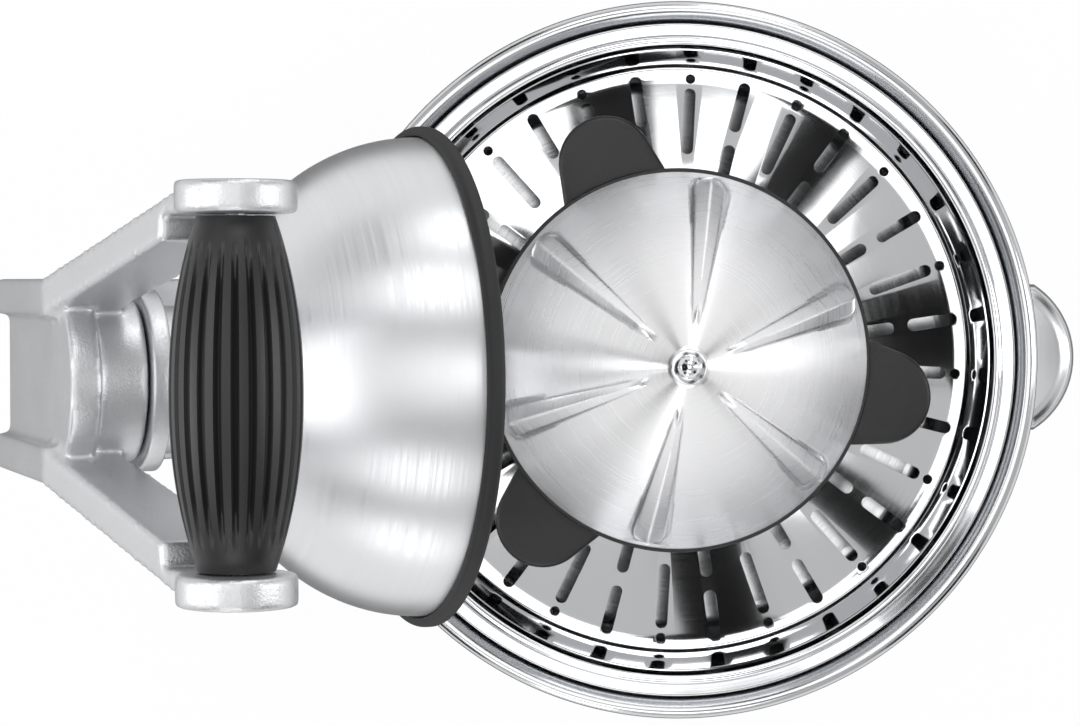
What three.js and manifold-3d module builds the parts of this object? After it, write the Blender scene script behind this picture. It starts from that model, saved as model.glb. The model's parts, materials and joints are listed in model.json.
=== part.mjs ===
// Lever-arm electric citrus press, in millimetres, +Z up.
// The reamer cone's axis is the working centre: the spout points to +X and the lever hinge is at -X.
// The finished group is shifted along X so that its origin is the middle of its footprint.
import * as THREE from 'three';
import { mergeVertices } from 'three/addons/utils/BufferGeometryUtils.js';
import Module from 'manifold-3d';

const wasm = await Module();
wasm.setup();

// ---- Clearances ----
const gap = 0.3; // between pieces that touch
const through = 1; // how far a cutter runs past the wall that it cuts

// ---- Base and housing ----
const footHeight = 6;
const footRadius = 9;
const footStemRadius = 3;
const frontFoot = { x: 52, y: 50 };
const rearFootPlace = { beforePivot: 9, y: 26 };
const footEdge = { run: 1, rise: 1.5 };
const baseThickness = 6;
const baseOverhang = 2;
const tailBehindPivot = 17;
const tailHalfWidth = 37;
const tailCorner = 12;
const housingFootRadius = 82;
const housingTopRadius = 80;
const housingWall = 2;
const housingHeight = 148;
const deckThickness = 3;
const deckRise = 7.5;
const deckSkirt = 10;
const deckBossRadius = 13;
const deckBossDepth = 8;
const deckSkirtWall = 2.5;
const deckSlack = 0.5; // between the deck's skirt and the housing
const deckEdge = 2;
const sealWall = 3.6;
const sealHeight = 6;
const sealLip = { width: 1.8, top: 3, root: 2 };
const glandHeight = 38;
const glandRadius = 6;
const glandFlange = 2.5;
const cordBore = 3.6;
const glandCollar = 5;
const glandTaper = 1;
const glandTail = 3; // how far the gland reaches inside the housing

const screwRadius = 2.4;
const screwHead = { radius: 4.5, height: 2.6 };
const columnScrewLength = 22;
const columnScrews = { behind: 7, before: 9 }; // the pivot

// ---- Bowl, sieve and spout ----
const bowlRimRadius = 90;
const bowlHeight = 57;
const lipRadius = 2.2;
const ledgeInset = 5.4;
const ledgeDepth = 4.6;
const ledgeWidth = 3;
const bowlWall = 1.5;
const bowlFloorRadius = 70;
const floorCorner = { rise: 8, inner: 6.6, outer: 8.2 };
const wallFoot = { run: 7, rise: 10 };
const wallHead = 3; // below the ledge
const tubeRadius = 8;
const tubeWall = 1.7;
const sieveWall = 1.2;
const sieveDrop = 17;
const flangeInset = 0.4;
const bead = { inset: 1.4, rise: 1.1 };
const beadEnd = { inset: 3.1, drop: 1.5 };
const dishFlat = 6; // how far the level middle of the dish stops inside the cone's edge
const dishBore = { ring: 4, lip: 2.6 };
const dishRadius = 74.6;
const dishCollar = 1;
const slotRepeats = 16;
const slotWidth = 3.1;
const slotPhase = -3 * (Math.PI / 180);
const longSlot = { from: 52.5, to: 69.5 };
const outerSlot = { from: 60, to: 73.2 };
const innerSlot = { from: 44, to: 56.5 };
const drainHole = { at: 72.4, radius: 1.25 };
const nozzlePastRear = 7.5; // beyond the spout's open rear
const nozzleHalfWidth = 15.7;
const nozzleHeight = 15;
const nozzleWall = 1.6;
const nozzleLift = 1.5;
const nozzleRoots = { wall: 2, passage: 12 };
const spoutLength = 21.5;
const spoutNoseRadius = 22.8;
const spoutHalfWidth = 19.2;
const spoutWall = 1.6;
const spoutHeight = 25;
const spoutBehindWall = 4.8;
const spoutPinRadius = 1.6;
const spoutRound = 4;
const spoutHeadroom = 3.6;
const spoutPinPlace = { ahead: 4, below: 3.5 };
const spoutPinHead = { flange: 1.2, taper: 0.6, height: 1.1 };

// ---- Reamer cone ----
const coneRadius = 47.5;
const coneHeight = 57;
const coneWall = 1.2;
const coneBulge = 1.25;
const coneTipRadius = 4.5;
const coneRingHeight = 6.5;
const coneRingRadius = 48.5;
const coneRingWall = 2.4;
const coneFloor = 2.4;
const coneSeatRise = 18;
const coneHubRoom = 3;
const coneBelowRim = 5;
const hubRadius = 8;
const rivetHeadRadius = 2.6;
const rivetShankRadius = 1.5;
const rivetShankDepth = 7;
const rivetWasher = { inset: 0.4, height: 0.8 };
const rivetDome = { crown: 0.7, shoulder: 2, top: 2.3 };
const ribCount = 6;
const ribPhase = 20 * (Math.PI / 180);
const ribFrom = 9;
const ribTo = 44;
const ribWidth = 3.4;
const ribLift = 0.4;
const ribShape = [[0.25, 0.12], [0.8, 0.7]]; // shares of its width and length
const earCount = 3;
const earPhase = -10 * (Math.PI / 180);
const earReach = 65;
const earRadius = 11.5;
const earThickness = 3;

// ---- Drive ----
const motorPlateHeight = 84;
const plateThickness = 3;
const plateRadius = 67;
const gearRoom = 32;
const postRadius = 3.5;
const postCircle = 62;
const postCount = 3;
const motorRadius = 28;
const motorLength = 54;
const motorWall = 2;
const motorCap = 3;
const rotorRoom = 8; // above and below the rotor's core
const shaftRoom = 1.5;
const rotorRadius = 20;
const rotorShaft = 3;
const outputGear = { teeth: 40, module: 1.75, width: 8 };
const smallIdler = { teeth: 12, module: 1.75, width: 16 };
const largeIdler = { teeth: 36, module: 1.4, width: 5 };
const pinion = { teeth: 10, module: 1.4, width: 7 };
const addendum = 0.75; // in modules
const dedendum = 1.15;
const toothFoot = 1.5; // widths of a tooth at its foot and tip, in pitch widths
const toothTip = 0.55;
const toothShare = 0.38; // tooth thickness as a share of the pitch
const meshSlack = 0.15;
const idlerPinRadius = 2;
const idlerCollar = 3;
const idlerLift = 2.5;
const pinionLift = 1.5;
const motorAngle = -55 * (Math.PI / 180);
const spindleRadius = 5;
const journalRadius = 3.4;
const driveHexRadius = 4.6;
const collarRadius = 8.5;
const collarHeight = 2;
const gearHubDrop = 10;
const springHeight = 7.2;
const springTurns = 3;
const springRoom = 0.4;
const driveHexDrop = 15;
const driveHexSlack = 0.4;
const lowerBushWall = 1.6;
const upperBushWall = 2.2;
const bushFlange = { lower: 3, upper: 2, height: 3 };
const pressTravel = 2.5;
const springWire = 0.7;
const switchSize = { x: 20, y: 10, z: 16 };
const plungerRadius = 1.8;
const plungerLength = 9.7;
const plungerShown = 3.7;
const switchLeft = -4;
const bracket = { thickness: 2, foot: 14, overhang: 1 };

// ---- Lever arm ----
const pivotBehindRim = 15;
const pivotAboveRim = 21;
const openAngle = 70.2 * (Math.PI / 180);
const pinRadius = 4;
const bushWall = 1.7;
const eyeRadius = 13;
const columnHalfWidth = 12.7;
const columnEye = 12;
const columnDepth = { front: 4, rear: 14 };
const columnWaist = 0.8; // height of its front step, as a share of the housing's
const cheekDrop = 36;
const shelf = { reach: 4, thickness: 5, brace: 20 };
const bumper = { thickness: 3.2, inset: 0.5, side: 1 };
const springPocket = 6.3;
const pocketDepth = 2;
const liftSpring = { wire: 0.9, turns: 4, room: 1.6 };
const hingeCap = { inset: 3, crown: 5, edge: 1.4, thickness: 3 };
const railThickness = 7.5;
const railRadius = 7;
const railCornerX = 55;
const railTop = 70;
const splayPastDome = 2.7; // places along the arm are counted from the dome's axis
const splayAngle = 13.6 * (Math.PI / 180);
const webTop = 67;
const webThickness = 6;
const webPastDome = { middle: 20, side: 13 };
const gripPastDome = 76;
const gripZ = 48;
const bossRadius = 11;
const bossInner = 32;
const bossOuter = 38;
const bossNeck = 3;
const gripScrewRadius = 2;
const gripHeadRadius = 4;
const gripHeadDepth = 3;
const gripHeadEdge = { run: 1, rise: 0.8 };
const gripScrewDepth = 10;
const gripRoom = 13;
const trim = 20; // half-size of the blocks that trim the arm's sides
const trimReach = 12;
const gripMiddle = 12;
const gripEnd = 7;
const gripRodRadius = 4;
const neckRadius = 16.5;
const neckBottom = 50.8;
const collarFlange = { radius: 18.5, bottom: 46.5, top: 50.5 };
const domeRadius = 50;
const domeDepth = 45;
const domeWall = 1.5;
const linerWall = 1.6;
const domeRimAboveBowl = 12;
const crownRadius = 14.7;
const domeRingThickness = 2;
const domeRingHeight = 6;
const boltRadius = 3;
const boltHead = { inner: 2.5, outer: 4, height: 4, edge: 2.5 };
const boltRoom = 2;
const hubFoot = { inset: 0.6, rise: 4, wall: 1.5 };
const stopBarReach = 18;
const stopBarRadius = 3;
const stopBarAngle = 120 * (Math.PI / 180);

// ---- Levels worked out from the sizes above ----
const baseTop = footHeight + baseThickness;
const housingBottom = baseTop + gap;
const housingTop = housingBottom + housingHeight;
const deckTop = housingTop + gap + deckRise;
const bowlBottom = deckTop + gap;
const rimTop = bowlBottom + bowlHeight;
const ledgeTop = rimTop - ledgeDepth;
const coneBase = rimTop - coneBelowRim;
const coneRingBottom = coneBase - coneRingHeight;
const pressedLevel = coneRingBottom - pressTravel - 2 * gap;
const motorPlateTop = baseTop + motorPlateHeight + plateThickness;
const gearPlateBottom = motorPlateTop + gearRoom;
const gearPlateTop = gearPlateBottom + plateThickness;
const pivotX = -bowlRimRadius - pivotBehindRim;
const pivotZ = rimTop + pivotAboveRim;
const tailLength = tailBehindPivot - pivotX;
const rearFoot = { x: pivotX + rearFootPlace.beforePivot, y: rearFootPlace.y };
const domeX = -pivotX;
const splayStart = domeX + splayPastDome;
const webFront = domeX + webPastDome.middle;
const webFrontSide = domeX + webPastDome.side;
const gripX = domeX + gripPastDome;
const domeRimZ = domeRimAboveBowl - pivotAboveRim;
const idlerX = -(outputGear.teeth + smallIdler.teeth) * outputGear.module / 2 - meshSlack;
const motorReach = (largeIdler.teeth + pinion.teeth) * largeIdler.module / 2 + meshSlack;
const motorX = idlerX + motorReach * Math.cos(motorAngle);
const motorY = motorReach * Math.sin(motorAngle);

// ---- Finishes ----
const finish = {
  polished: { color: 0xd8dadc, roughness: 0.12, metalness: 1 },
  brushed: { color: 0xc4c6c8, roughness: 0.35, metalness: 1 },
  casting: { color: 0xb9bbbd, roughness: 0.55, metalness: 1 },
  steel: { color: 0x9a9da0, roughness: 0.4, metalness: 1 },
  bronze: { color: 0xa9803f, roughness: 0.45, metalness: 1 },
  black: { color: 0x141414, roughness: 0.6, metalness: 0 },
  rubber: { color: 0x0c0c0c, roughness: 0.85, metalness: 0 },
  nylon: { color: 0xe4e0d4, roughness: 0.5, metalness: 0 },
};

// ---- Solids ----
function signedVolume(at, triangles) {
  const a = new THREE.Vector3();
  const b = new THREE.Vector3();
  const c = new THREE.Vector3();
  let sum = 0;
  for (let i = 0; i < triangles.length; i += 3) {
    a.fromBufferAttribute(at, triangles[i]);
    b.fromBufferAttribute(at, triangles[i + 1]);
    c.fromBufferAttribute(at, triangles[i + 2]);
    sum += a.dot(b.cross(c));
  }
  return sum / 6;
}

// A closed geometry as a solid, with its faces turned outwards.
function solid(geometry) {
  geometry.deleteAttribute('normal');
  geometry.deleteAttribute('uv');
  const merged = mergeVertices(geometry, 1e-4);
  const index = merged.index.array;
  const triangles = [];
  for (let i = 0; i < index.length; i += 3) {
    const corners = [index[i], index[i + 1], index[i + 2]];
    if (new Set(corners).size === 3) triangles.push(...corners);
  }
  const at = merged.attributes.position;
  if (signedVolume(at, triangles) < 0) triangles.reverse();
  return new wasm.Manifold(new wasm.Mesh({
    numProp: 3,
    vertProperties: Float32Array.from(at.array),
    triVerts: Uint32Array.from(triangles),
  }));
}

function part(group, name, body, look) {
  const mesh = body.getMesh();
  const geometry = new THREE.BufferGeometry();
  geometry.setAttribute('position', new THREE.BufferAttribute(Float32Array.from(mesh.vertProperties), 3));
  geometry.setIndex(new THREE.BufferAttribute(Uint32Array.from(mesh.triVerts), 1));
  geometry.computeVertexNormals();
  const piece = new THREE.Mesh(geometry, new THREE.MeshStandardMaterial(look));
  piece.name = name;
  group.add(piece);
}

// A profile of [radius, height] pairs turned about Z; it starts and ends on the axis.
function turnedGeometry(profile, segments) {
  const points = profile.map(([r, z]) => new THREE.Vector2(r, z));
  return new THREE.LatheGeometry(points, segments).rotateX(Math.PI / 2);
}

function turned(profile, segments = 28) {
  return solid(turnedGeometry(profile, segments));
}

// The same for a ring, whose profile closes on itself.
function ring(profile, segments = 28) {
  return turned([...profile, profile[0]], segments);
}

function rodProfile(radius, bottom, top) {
  return [[0, bottom], [radius, bottom], [radius, top], [0, top]];
}

function rod(radius, bottom, top, x = 0, y = 0, segments = 10) {
  return solid(turnedGeometry(rodProfile(radius, bottom, top), segments).translate(x, y, 0));
}

// A rod along Y.
function crossRod(radius, from, to, x, z, segments = 12) {
  const geometry = turnedGeometry(rodProfile(radius, from, to), segments);
  return solid(geometry.rotateX(-Math.PI / 2).translate(x, 0, z));
}

// A turned profile laid along Y.
function crossTurned(profile, x, z, segments = 16) {
  return solid(turnedGeometry(profile, segments).rotateX(-Math.PI / 2).translate(x, 0, z));
}

function block(x, y, z) {
  const box = new THREE.BoxGeometry(x[1] - x[0], y[1] - y[0], z[1] - z[0]);
  return solid(box.translate((x[0] + x[1]) / 2, (y[0] + y[1]) / 2, (z[0] + z[1]) / 2));
}

function slab(shape, bottom, top, curveSegments = 12) {
  const extrusion = { depth: top - bottom, bevelEnabled: false, curveSegments };
  return solid(new THREE.ExtrudeGeometry(shape, extrusion).translate(0, 0, bottom));
}

// A side-view outline in X and Z, as a plate between two values of Y.
function sidePlateGeometry(shape, from, to) {
  const extrusion = { depth: to - from, bevelEnabled: false, curveSegments: 5 };
  return new THREE.ExtrudeGeometry(shape, extrusion).rotateX(Math.PI / 2).translate(0, to, 0);
}

function sidePlate(shape, from, to) {
  return solid(sidePlateGeometry(shape, from, to));
}

// Two circles joined by their outer tangents.
function strap(p, rp, q, rq) {
  const heading = Math.atan2(q[1] - p[1], q[0] - p[0]);
  const lean = Math.acos((rp - rq) / Math.hypot(q[0] - p[0], q[1] - p[1]));
  const shape = new THREE.Shape();
  shape.absarc(p[0], p[1], rp, heading + lean, heading - lean + 2 * Math.PI, false);
  shape.absarc(q[0], q[1], rq, heading - lean, heading + lean, false);
  shape.closePath();
  return shape;
}

function arc(x, z, radius, from, to, steps) {
  return Array.from({ length: steps + 1 }, (_, i) => {
    const angle = (from + (to - from) * i / steps) * Math.PI / 180;
    return [x + radius * Math.cos(angle), z + radius * Math.sin(angle)];
  });
}

function joined(first, ...others) {
  return others.reduce((sum, body) => sum.add(body), first);
}

function cut(first, ...others) {
  return others.reduce((rest, body) => rest.subtract(body), first);
}

function around(count, phase, make) {
  return Array.from({ length: count }, (_, i) => make(phase + i * 2 * Math.PI / count, i));
}

// A round-wire helix standing on Z.
function coil(radius, wire, turns, bottom, top) {
  const steps = 8;
  const points = Array.from({ length: turns * steps + 1 }, (_, i) => {
    const angle = i * 2 * Math.PI / steps;
    const z = bottom + wire + (top - bottom - 2 * wire) * i / (turns * steps);
    return new THREE.Vector3(radius * Math.cos(angle), radius * Math.sin(angle), z);
  });
  const section = new THREE.Shape();
  section.absarc(0, 0, wire, 0, 2 * Math.PI, false);
  const path = new THREE.CatmullRomCurve3(points);
  return new THREE.ExtrudeGeometry(section, { steps: turns * steps, extrudePath: path, curveSegments: 3 });
}

// ---- Gears ----
function gear({ teeth, module, width }, bottom, x, y, phase) {
  const pitch = teeth * module / 2;
  const tip = pitch + addendum * module;
  const root = pitch - dedendum * module;
  const half = Math.PI / teeth;
  const shape = new THREE.Shape();
  const corners = [
    [root, -half * toothShare * toothFoot],
    [tip, -half * toothShare * toothTip],
    [tip, half * toothShare * toothTip],
    [root, half * toothShare * toothFoot],
  ];
  for (let i = 0; i < teeth; i += 1) {
    for (const [radius, turn] of corners) {
      const angle = phase + 2 * half * i + turn;
      const corner = [radius * Math.cos(angle), radius * Math.sin(angle)];
      if (i === 0 && radius === root && turn < 0) shape.moveTo(...corner);
      else shape.lineTo(...corner);
    }
  }
  shape.closePath();
  const wheel = new THREE.ExtrudeGeometry(shape, { depth: width, bevelEnabled: false });
  return solid(wheel.translate(x, y, bottom));
}

function hexBore(radius, bottom, top) {
  return rod(radius, bottom, top, 0, 0, 6);
}

// ---- Base: feet, base plate, rear column ----
function baseOutline() {
  const outline = new THREE.Shape();
  const body = housingFootRadius + baseOverhang;
  const meet = Math.acos(-Math.sqrt(body ** 2 - tailHalfWidth ** 2) / body);
  const cornerX = -tailLength + tailCorner;
  const cornerY = tailHalfWidth - tailCorner;
  outline.absarc(0, 0, body, -meet, meet, false);
  outline.lineTo(cornerX, tailHalfWidth);
  outline.absarc(cornerX, cornerY, tailCorner, Math.PI / 2, Math.PI, false);
  outline.lineTo(-tailLength, -cornerY);
  outline.absarc(cornerX, -cornerY, tailCorner, Math.PI, 1.5 * Math.PI, false);
  outline.closePath();
  return outline;
}

const footPlaces = [
  [frontFoot.x, frontFoot.y],
  [frontFoot.x, -frontFoot.y],
  [rearFoot.x, rearFoot.y],
  [rearFoot.x, -rearFoot.y],
];
const columnScrewPlaces = [pivotX - columnScrews.behind, pivotX + columnScrews.before];

function buildBase(group) {
  const stemHoles = footPlaces.map(([x, y]) =>
    rod(footStemRadius + gap, footHeight - through, baseTop + through, x, y));
  const screwHoles = columnScrewPlaces.flatMap((x) => [
    rod(screwRadius + gap, footHeight - through, baseTop + through, x, 0, 12),
    rod(screwHead.radius + gap, footHeight - through, footHeight + screwHead.height + 2 * gap, x, 0, 16),
  ]);
  const plate = cut(slab(baseOutline(), footHeight, baseTop, 10), ...stemHoles, ...screwHoles);
  part(group, 'base_plate', plate, finish.black);
  footPlaces.forEach(([x, y], i) => {
    const foot = turnedGeometry([
      [0, 0],
      [footRadius - footEdge.run, 0],
      [footRadius, footEdge.rise],
      [footRadius, footHeight - gap],
      [footStemRadius, footHeight - gap],
      [footStemRadius, baseTop - gap],
      [0, baseTop - gap],
    ], 10).translate(x, y, 0);
    part(group, `foot_${i + 1}`, solid(foot), finish.rubber);
  });
  columnScrewPlaces.forEach((x, i) => {
    const head = rod(screwHead.radius, footHeight + gap, footHeight + gap + screwHead.height, x, 0, 12);
    const shank = rod(screwRadius, footHeight + gap, baseTop + columnScrewLength, x, 0, 12);
    part(group, `column_screw_${i + 1}`, head.add(shank), finish.steel);
  });
}

// A round cutter or piece along X, at the height of the cord gland.
function alongX(profile, segments = 16) {
  const geometry = turnedGeometry(profile, segments).rotateY(Math.PI / 2);
  return solid(geometry.translate(0, 0, housingBottom + glandHeight));
}

// The rear column rises behind the housing and carries the hinge pin between two cheeks.
const columnFront = -housingFootRadius - columnDepth.front;
const columnRear = pivotX - columnDepth.rear;
const shelfRear = pivotX - stopBarReach - shelf.reach;
const bumperRest = stopBarAngle + openAngle;
const bumperTop = pivotZ + stopBarReach * Math.sin(bumperRest) - stopBarRadius - gap;
const shelfTop = bumperTop - bumper.thickness - gap;

function buildColumn(group) {
  const outline = new THREE.Shape();
  outline.moveTo(columnRear, baseTop + gap);
  outline.lineTo(columnFront, baseTop + gap);
  outline.lineTo(columnFront, housingTop * columnWaist);
  outline.lineTo(pivotX + columnEye, pivotZ - cheekDrop);
  outline.lineTo(pivotX + columnEye, pivotZ);
  outline.absarc(pivotX, pivotZ, columnEye, 0, Math.PI, false);
  outline.lineTo(pivotX - columnEye, shelfTop);
  outline.lineTo(shelfRear, shelfTop);
  outline.lineTo(shelfRear, shelfTop - shelf.thickness);
  outline.lineTo(columnRear, shelfTop - shelf.brace);
  outline.closePath();
  const screwBores = columnScrewPlaces.map((x) =>
    rod(screwRadius + gap, baseTop - through, baseTop + columnScrewLength + gap, x, 0, 12));
  const pocket = block(
    [pivotX - columnEye - through, pivotX + columnEye + through],
    [-springPocket, springPocket],
    [pivotZ - columnEye - pocketDepth, pivotZ + columnEye + through],
  );
  const pinBore = crossRod(
    pinRadius + gap, -columnHalfWidth - through, columnHalfWidth + through, pivotX, pivotZ);
  const glandBore = alongX(rodProfile(glandRadius + gap, columnRear - through, columnFront + through));
  const column = cut(
    sidePlate(outline, -columnHalfWidth, columnHalfWidth), pocket, pinBore, glandBore, ...screwBores);
  part(group, 'rear_column', column, finish.casting);
  const pad = block(
    [shelfRear + bumper.inset, pivotX - columnEye - gap],
    [-columnHalfWidth + bumper.side, columnHalfWidth - bumper.side],
    [shelfTop + gap, bumperTop],
  );
  part(group, 'stop_bumper', pad, finish.rubber);
}

const railInner = columnHalfWidth + gap;
const railOuter = railInner + railThickness;

function buildHinge(group) {
  const pinEnd = railOuter + gap;
  const pin = crossRod(pinRadius, -pinEnd, pinEnd, pivotX, pivotZ);
  part(group, 'hinge_pin', pin, finish.steel);
  for (const [side, sign] of [['left', 1], ['right', -1]]) {
    const cap = crossTurned([
      [0, sign * (pinEnd + gap)],
      [eyeRadius - hingeCap.inset, sign * (pinEnd + gap)],
      [eyeRadius - hingeCap.inset, sign * (pinEnd + gap + hingeCap.edge)],
      [eyeRadius - hingeCap.crown, sign * (pinEnd + gap + hingeCap.thickness)],
      [0, sign * (pinEnd + gap + hingeCap.thickness)],
    ], pivotX, pivotZ, 20);
    part(group, `hinge_cap_${side}`, cap, finish.casting);
  }
  const pocketHalf = springPocket - gap;
  const coilRadius = pinRadius + gap + liftSpring.room;
  const spring = coil(coilRadius, liftSpring.wire, liftSpring.turns, -pocketHalf, pocketHalf)
    .rotateX(-Math.PI / 2).translate(pivotX, 0, pivotZ);
  part(group, 'lift_spring', solid(spring), finish.steel);
}

// ---- Housing, deck and cord gland ----
function buildHousing(group) {
  const inner = (radius) => radius - housingWall;
  const wall = ring([
    [housingFootRadius, housingBottom],
    [housingTopRadius, housingTop],
    [inner(housingTopRadius), housingTop],
    [inner(housingFootRadius), housingBottom],
  ], 36);
  const glandHole = alongX(
    rodProfile(glandRadius + gap, -housingFootRadius - through, -inner(housingTopRadius) + 10 * through));
  part(group, 'housing_shell', wall.subtract(glandHole), finish.brushed);
  const glandFront = -housingFootRadius + housingWall + glandTail;
  const gland = alongX([
    [cordBore, glandFront],
    [glandRadius, glandFront],
    [glandRadius, columnRear - gap],
    [glandRadius + glandFlange, columnRear - gap],
    [glandRadius + glandTaper, columnRear - glandCollar],
    [cordBore, columnRear - glandCollar],
    [cordBore, glandFront],
  ]);
  part(group, 'cord_gland', gland, finish.black);

  const skirtOuter = housingTopRadius - housingWall - deckSlack;
  const sealHole = spindleRadius + gap + sealWall;
  const deck = ring([
    [sealHole, deckTop - deckBossDepth],
    [deckBossRadius, deckTop - deckBossDepth],
    [deckBossRadius, deckTop - deckThickness],
    [skirtOuter - deckSkirtWall, deckTop - deckThickness],
    [skirtOuter - deckSkirtWall, housingTop - deckSkirt],
    [skirtOuter, housingTop - deckSkirt],
    [skirtOuter, housingTop + gap],
    [housingTopRadius, housingTop + gap],
    [housingTopRadius, deckTop - deckEdge],
    [housingTopRadius - deckEdge, deckTop],
    [sealHole, deckTop],
  ], 28);
  part(group, 'top_deck', deck, finish.black);
  const seal = ring([
    [spindleRadius + gap, deckTop - sealHeight],
    [sealHole - gap, deckTop - sealHeight],
    [sealHole - gap, deckTop - gap],
    [spindleRadius + sealLip.width, deckTop - gap],
    [spindleRadius + sealLip.width, deckTop - sealLip.top],
    [spindleRadius + gap, deckTop - sealLip.root],
  ], 20);
  part(group, 'shaft_seal', seal, finish.rubber);
}

// ---- Motor and gears ----
const lowerBushTop = motorPlateTop + 2.7;
const gearHubBottom = lowerBushTop + gap;
const outputBottom = gearHubBottom + gearHubDrop;
const gearHubTop = outputBottom + outputGear.width;
const springBottom = gearHubTop + gap;
const springTop = springBottom + springHeight;
const collarBottom = springTop + gap;
const collarTop = collarBottom + collarHeight;
const upperBushBottom = collarTop + gap;
const spindleBottom = motorPlateTop - plateThickness - 6;
const coneSeat = coneBase + coneSeatRise;
const driveHexBottom = coneBase - driveHexDrop;

function buildFrame(group) {
  const plateBottom = motorPlateTop - plateThickness;
  const postPlaces = around(postCount, Math.PI / 6, (angle) =>
    [postCircle * Math.cos(angle), postCircle * Math.sin(angle)]);
  const bushHole = journalRadius + gap + lowerBushWall + gap;
  const upperBushRadius = spindleRadius + gap + upperBushWall;
  const motorPlate = cut(
    rod(plateRadius, plateBottom, motorPlateTop, 0, 0, 24),
    rod(bushHole, plateBottom - through, motorPlateTop + through),
    rod(rotorShaft + shaftRoom, plateBottom - through, motorPlateTop + through, motorX, motorY, 12),
  );
  part(group, 'motor_plate', motorPlate, finish.steel);
  const gearPlate = cut(
    rod(plateRadius, gearPlateBottom, gearPlateTop, 0, 0, 24),
    rod(upperBushRadius + gap, gearPlateBottom - through, gearPlateTop + through, 0, 0, 20),
  );
  part(group, 'gear_plate', gearPlate, finish.steel);
  postPlaces.forEach(([x, y], i) => {
    const post = rod(postRadius, baseTop + gap, plateBottom - gap, x, y, 10);
    part(group, `frame_post_${i + 1}`, post, finish.steel);
    const spacer = rod(postRadius, motorPlateTop + gap, gearPlateBottom - gap, x, y, 10);
    part(group, `frame_spacer_${i + 1}`, spacer, finish.steel);
  });
  const lowerBush = ring([
    [journalRadius + gap, plateBottom],
    [bushHole - gap, plateBottom],
    [bushHole - gap, motorPlateTop + gap],
    [bushHole + bushFlange.lower, motorPlateTop + gap],
    [bushHole + bushFlange.lower, lowerBushTop],
    [journalRadius + gap, lowerBushTop],
  ], 16);
  part(group, 'lower_bush', lowerBush, finish.bronze);
  const upperBush = ring([
    [spindleRadius + gap, upperBushBottom],
    [upperBushRadius, upperBushBottom],
    [upperBushRadius, gearPlateTop + gap],
    [upperBushRadius + bushFlange.upper, gearPlateTop + gap],
    [upperBushRadius + bushFlange.upper, gearPlateTop + bushFlange.height],
    [spindleRadius + gap, gearPlateTop + bushFlange.height],
  ], 20);
  part(group, 'upper_bush', upperBush, finish.bronze);
}

function buildMotor(group) {
  const canTop = motorPlateTop - plateThickness - gap;
  const canBottom = canTop - motorLength;
  const can = ring([
    [rotorShaft + gap, canTop - motorCap],
    [motorRadius - motorWall, canTop - motorCap],
    [motorRadius - motorWall, canBottom],
    [motorRadius, canBottom],
    [motorRadius, canTop],
    [rotorShaft + gap, canTop],
  ], 20);
  part(group, 'motor_can', can.translate([motorX, motorY, 0]), finish.steel);
  const cap = ring([
    [rotorShaft + gap, canBottom],
    [motorRadius - motorWall - gap, canBottom],
    [motorRadius - motorWall - gap, canBottom + motorCap],
    [rotorShaft + gap, canBottom + motorCap],
  ], 20);
  part(group, 'motor_end_cap', cap.translate([motorX, motorY, 0]), finish.black);
  const core = rod(rotorRadius, canBottom + rotorRoom, canTop - rotorRoom, motorX, motorY, 20);
  const pinionBottom = motorPlateTop + pinionLift;
  const shaft = rod(rotorShaft, canBottom + through, pinionBottom + through, motorX, motorY, 12);
  const pinionPhase = motorAngle + Math.PI + Math.PI / pinion.teeth;
  const wheel = gear(pinion, pinionBottom, motorX, motorY, pinionPhase);
  part(group, 'rotor', joined(core, shaft, wheel), finish.steel);
}

function buildGears(group) {
  const idlerBottom = motorPlateTop + idlerLift;
  const large = gear(largeIdler, idlerBottom, idlerX, 0, motorAngle);
  const small = gear(
    smallIdler, idlerBottom + largeIdler.width - 0.5, idlerX, 0, Math.PI / smallIdler.teeth);
  const collar = rod(idlerPinRadius + idlerCollar, motorPlateTop + gap, idlerBottom + through, idlerX, 0, 12);
  const bore = rod(idlerPinRadius + gap, motorPlateTop, gearPlateBottom, idlerX, 0, 12);
  part(group, 'idler_gear', cut(joined(large, small, collar), bore), finish.nylon);
  const pin = rod(idlerPinRadius, motorPlateTop + gap, gearPlateBottom - gap, idlerX, 0, 10);
  part(group, 'idler_pin', pin, finish.steel);

  const wheel = gear(outputGear, outputBottom, 0, 0, Math.PI);
  const hub = rod(collarRadius, gearHubBottom, gearHubTop, 0, 0, 20);
  const socket = hexBore(spindleRadius + gap + 0.1, gearHubBottom - through, gearHubTop + through);
  part(group, 'output_gear', wheel.add(hub).subtract(socket), finish.nylon);
}

function buildSpindle(group) {
  const hexBottom = gearHubBottom + pressTravel + gap;
  const journal = rod(journalRadius, spindleBottom, hexBottom + through, 0, 0, 16);
  const hex = hexBore(spindleRadius, hexBottom, collarBottom + through);
  const collar = rod(collarRadius, collarBottom, collarTop, 0, 0, 20);
  const shaft = rod(spindleRadius, collarTop - through, driveHexBottom, 0, 0, 20);
  const drive = hexBore(driveHexRadius, driveHexBottom - through, coneSeat);
  part(group, 'spindle', joined(journal, hex, collar, shaft, drive), finish.steel);
  const coilRadius = spindleRadius + gap + springWire + springRoom;
  const spring = coil(coilRadius, springWire, springTurns, springBottom, springTop);
  part(group, 'return_spring', solid(spring), finish.steel);
}

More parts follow.
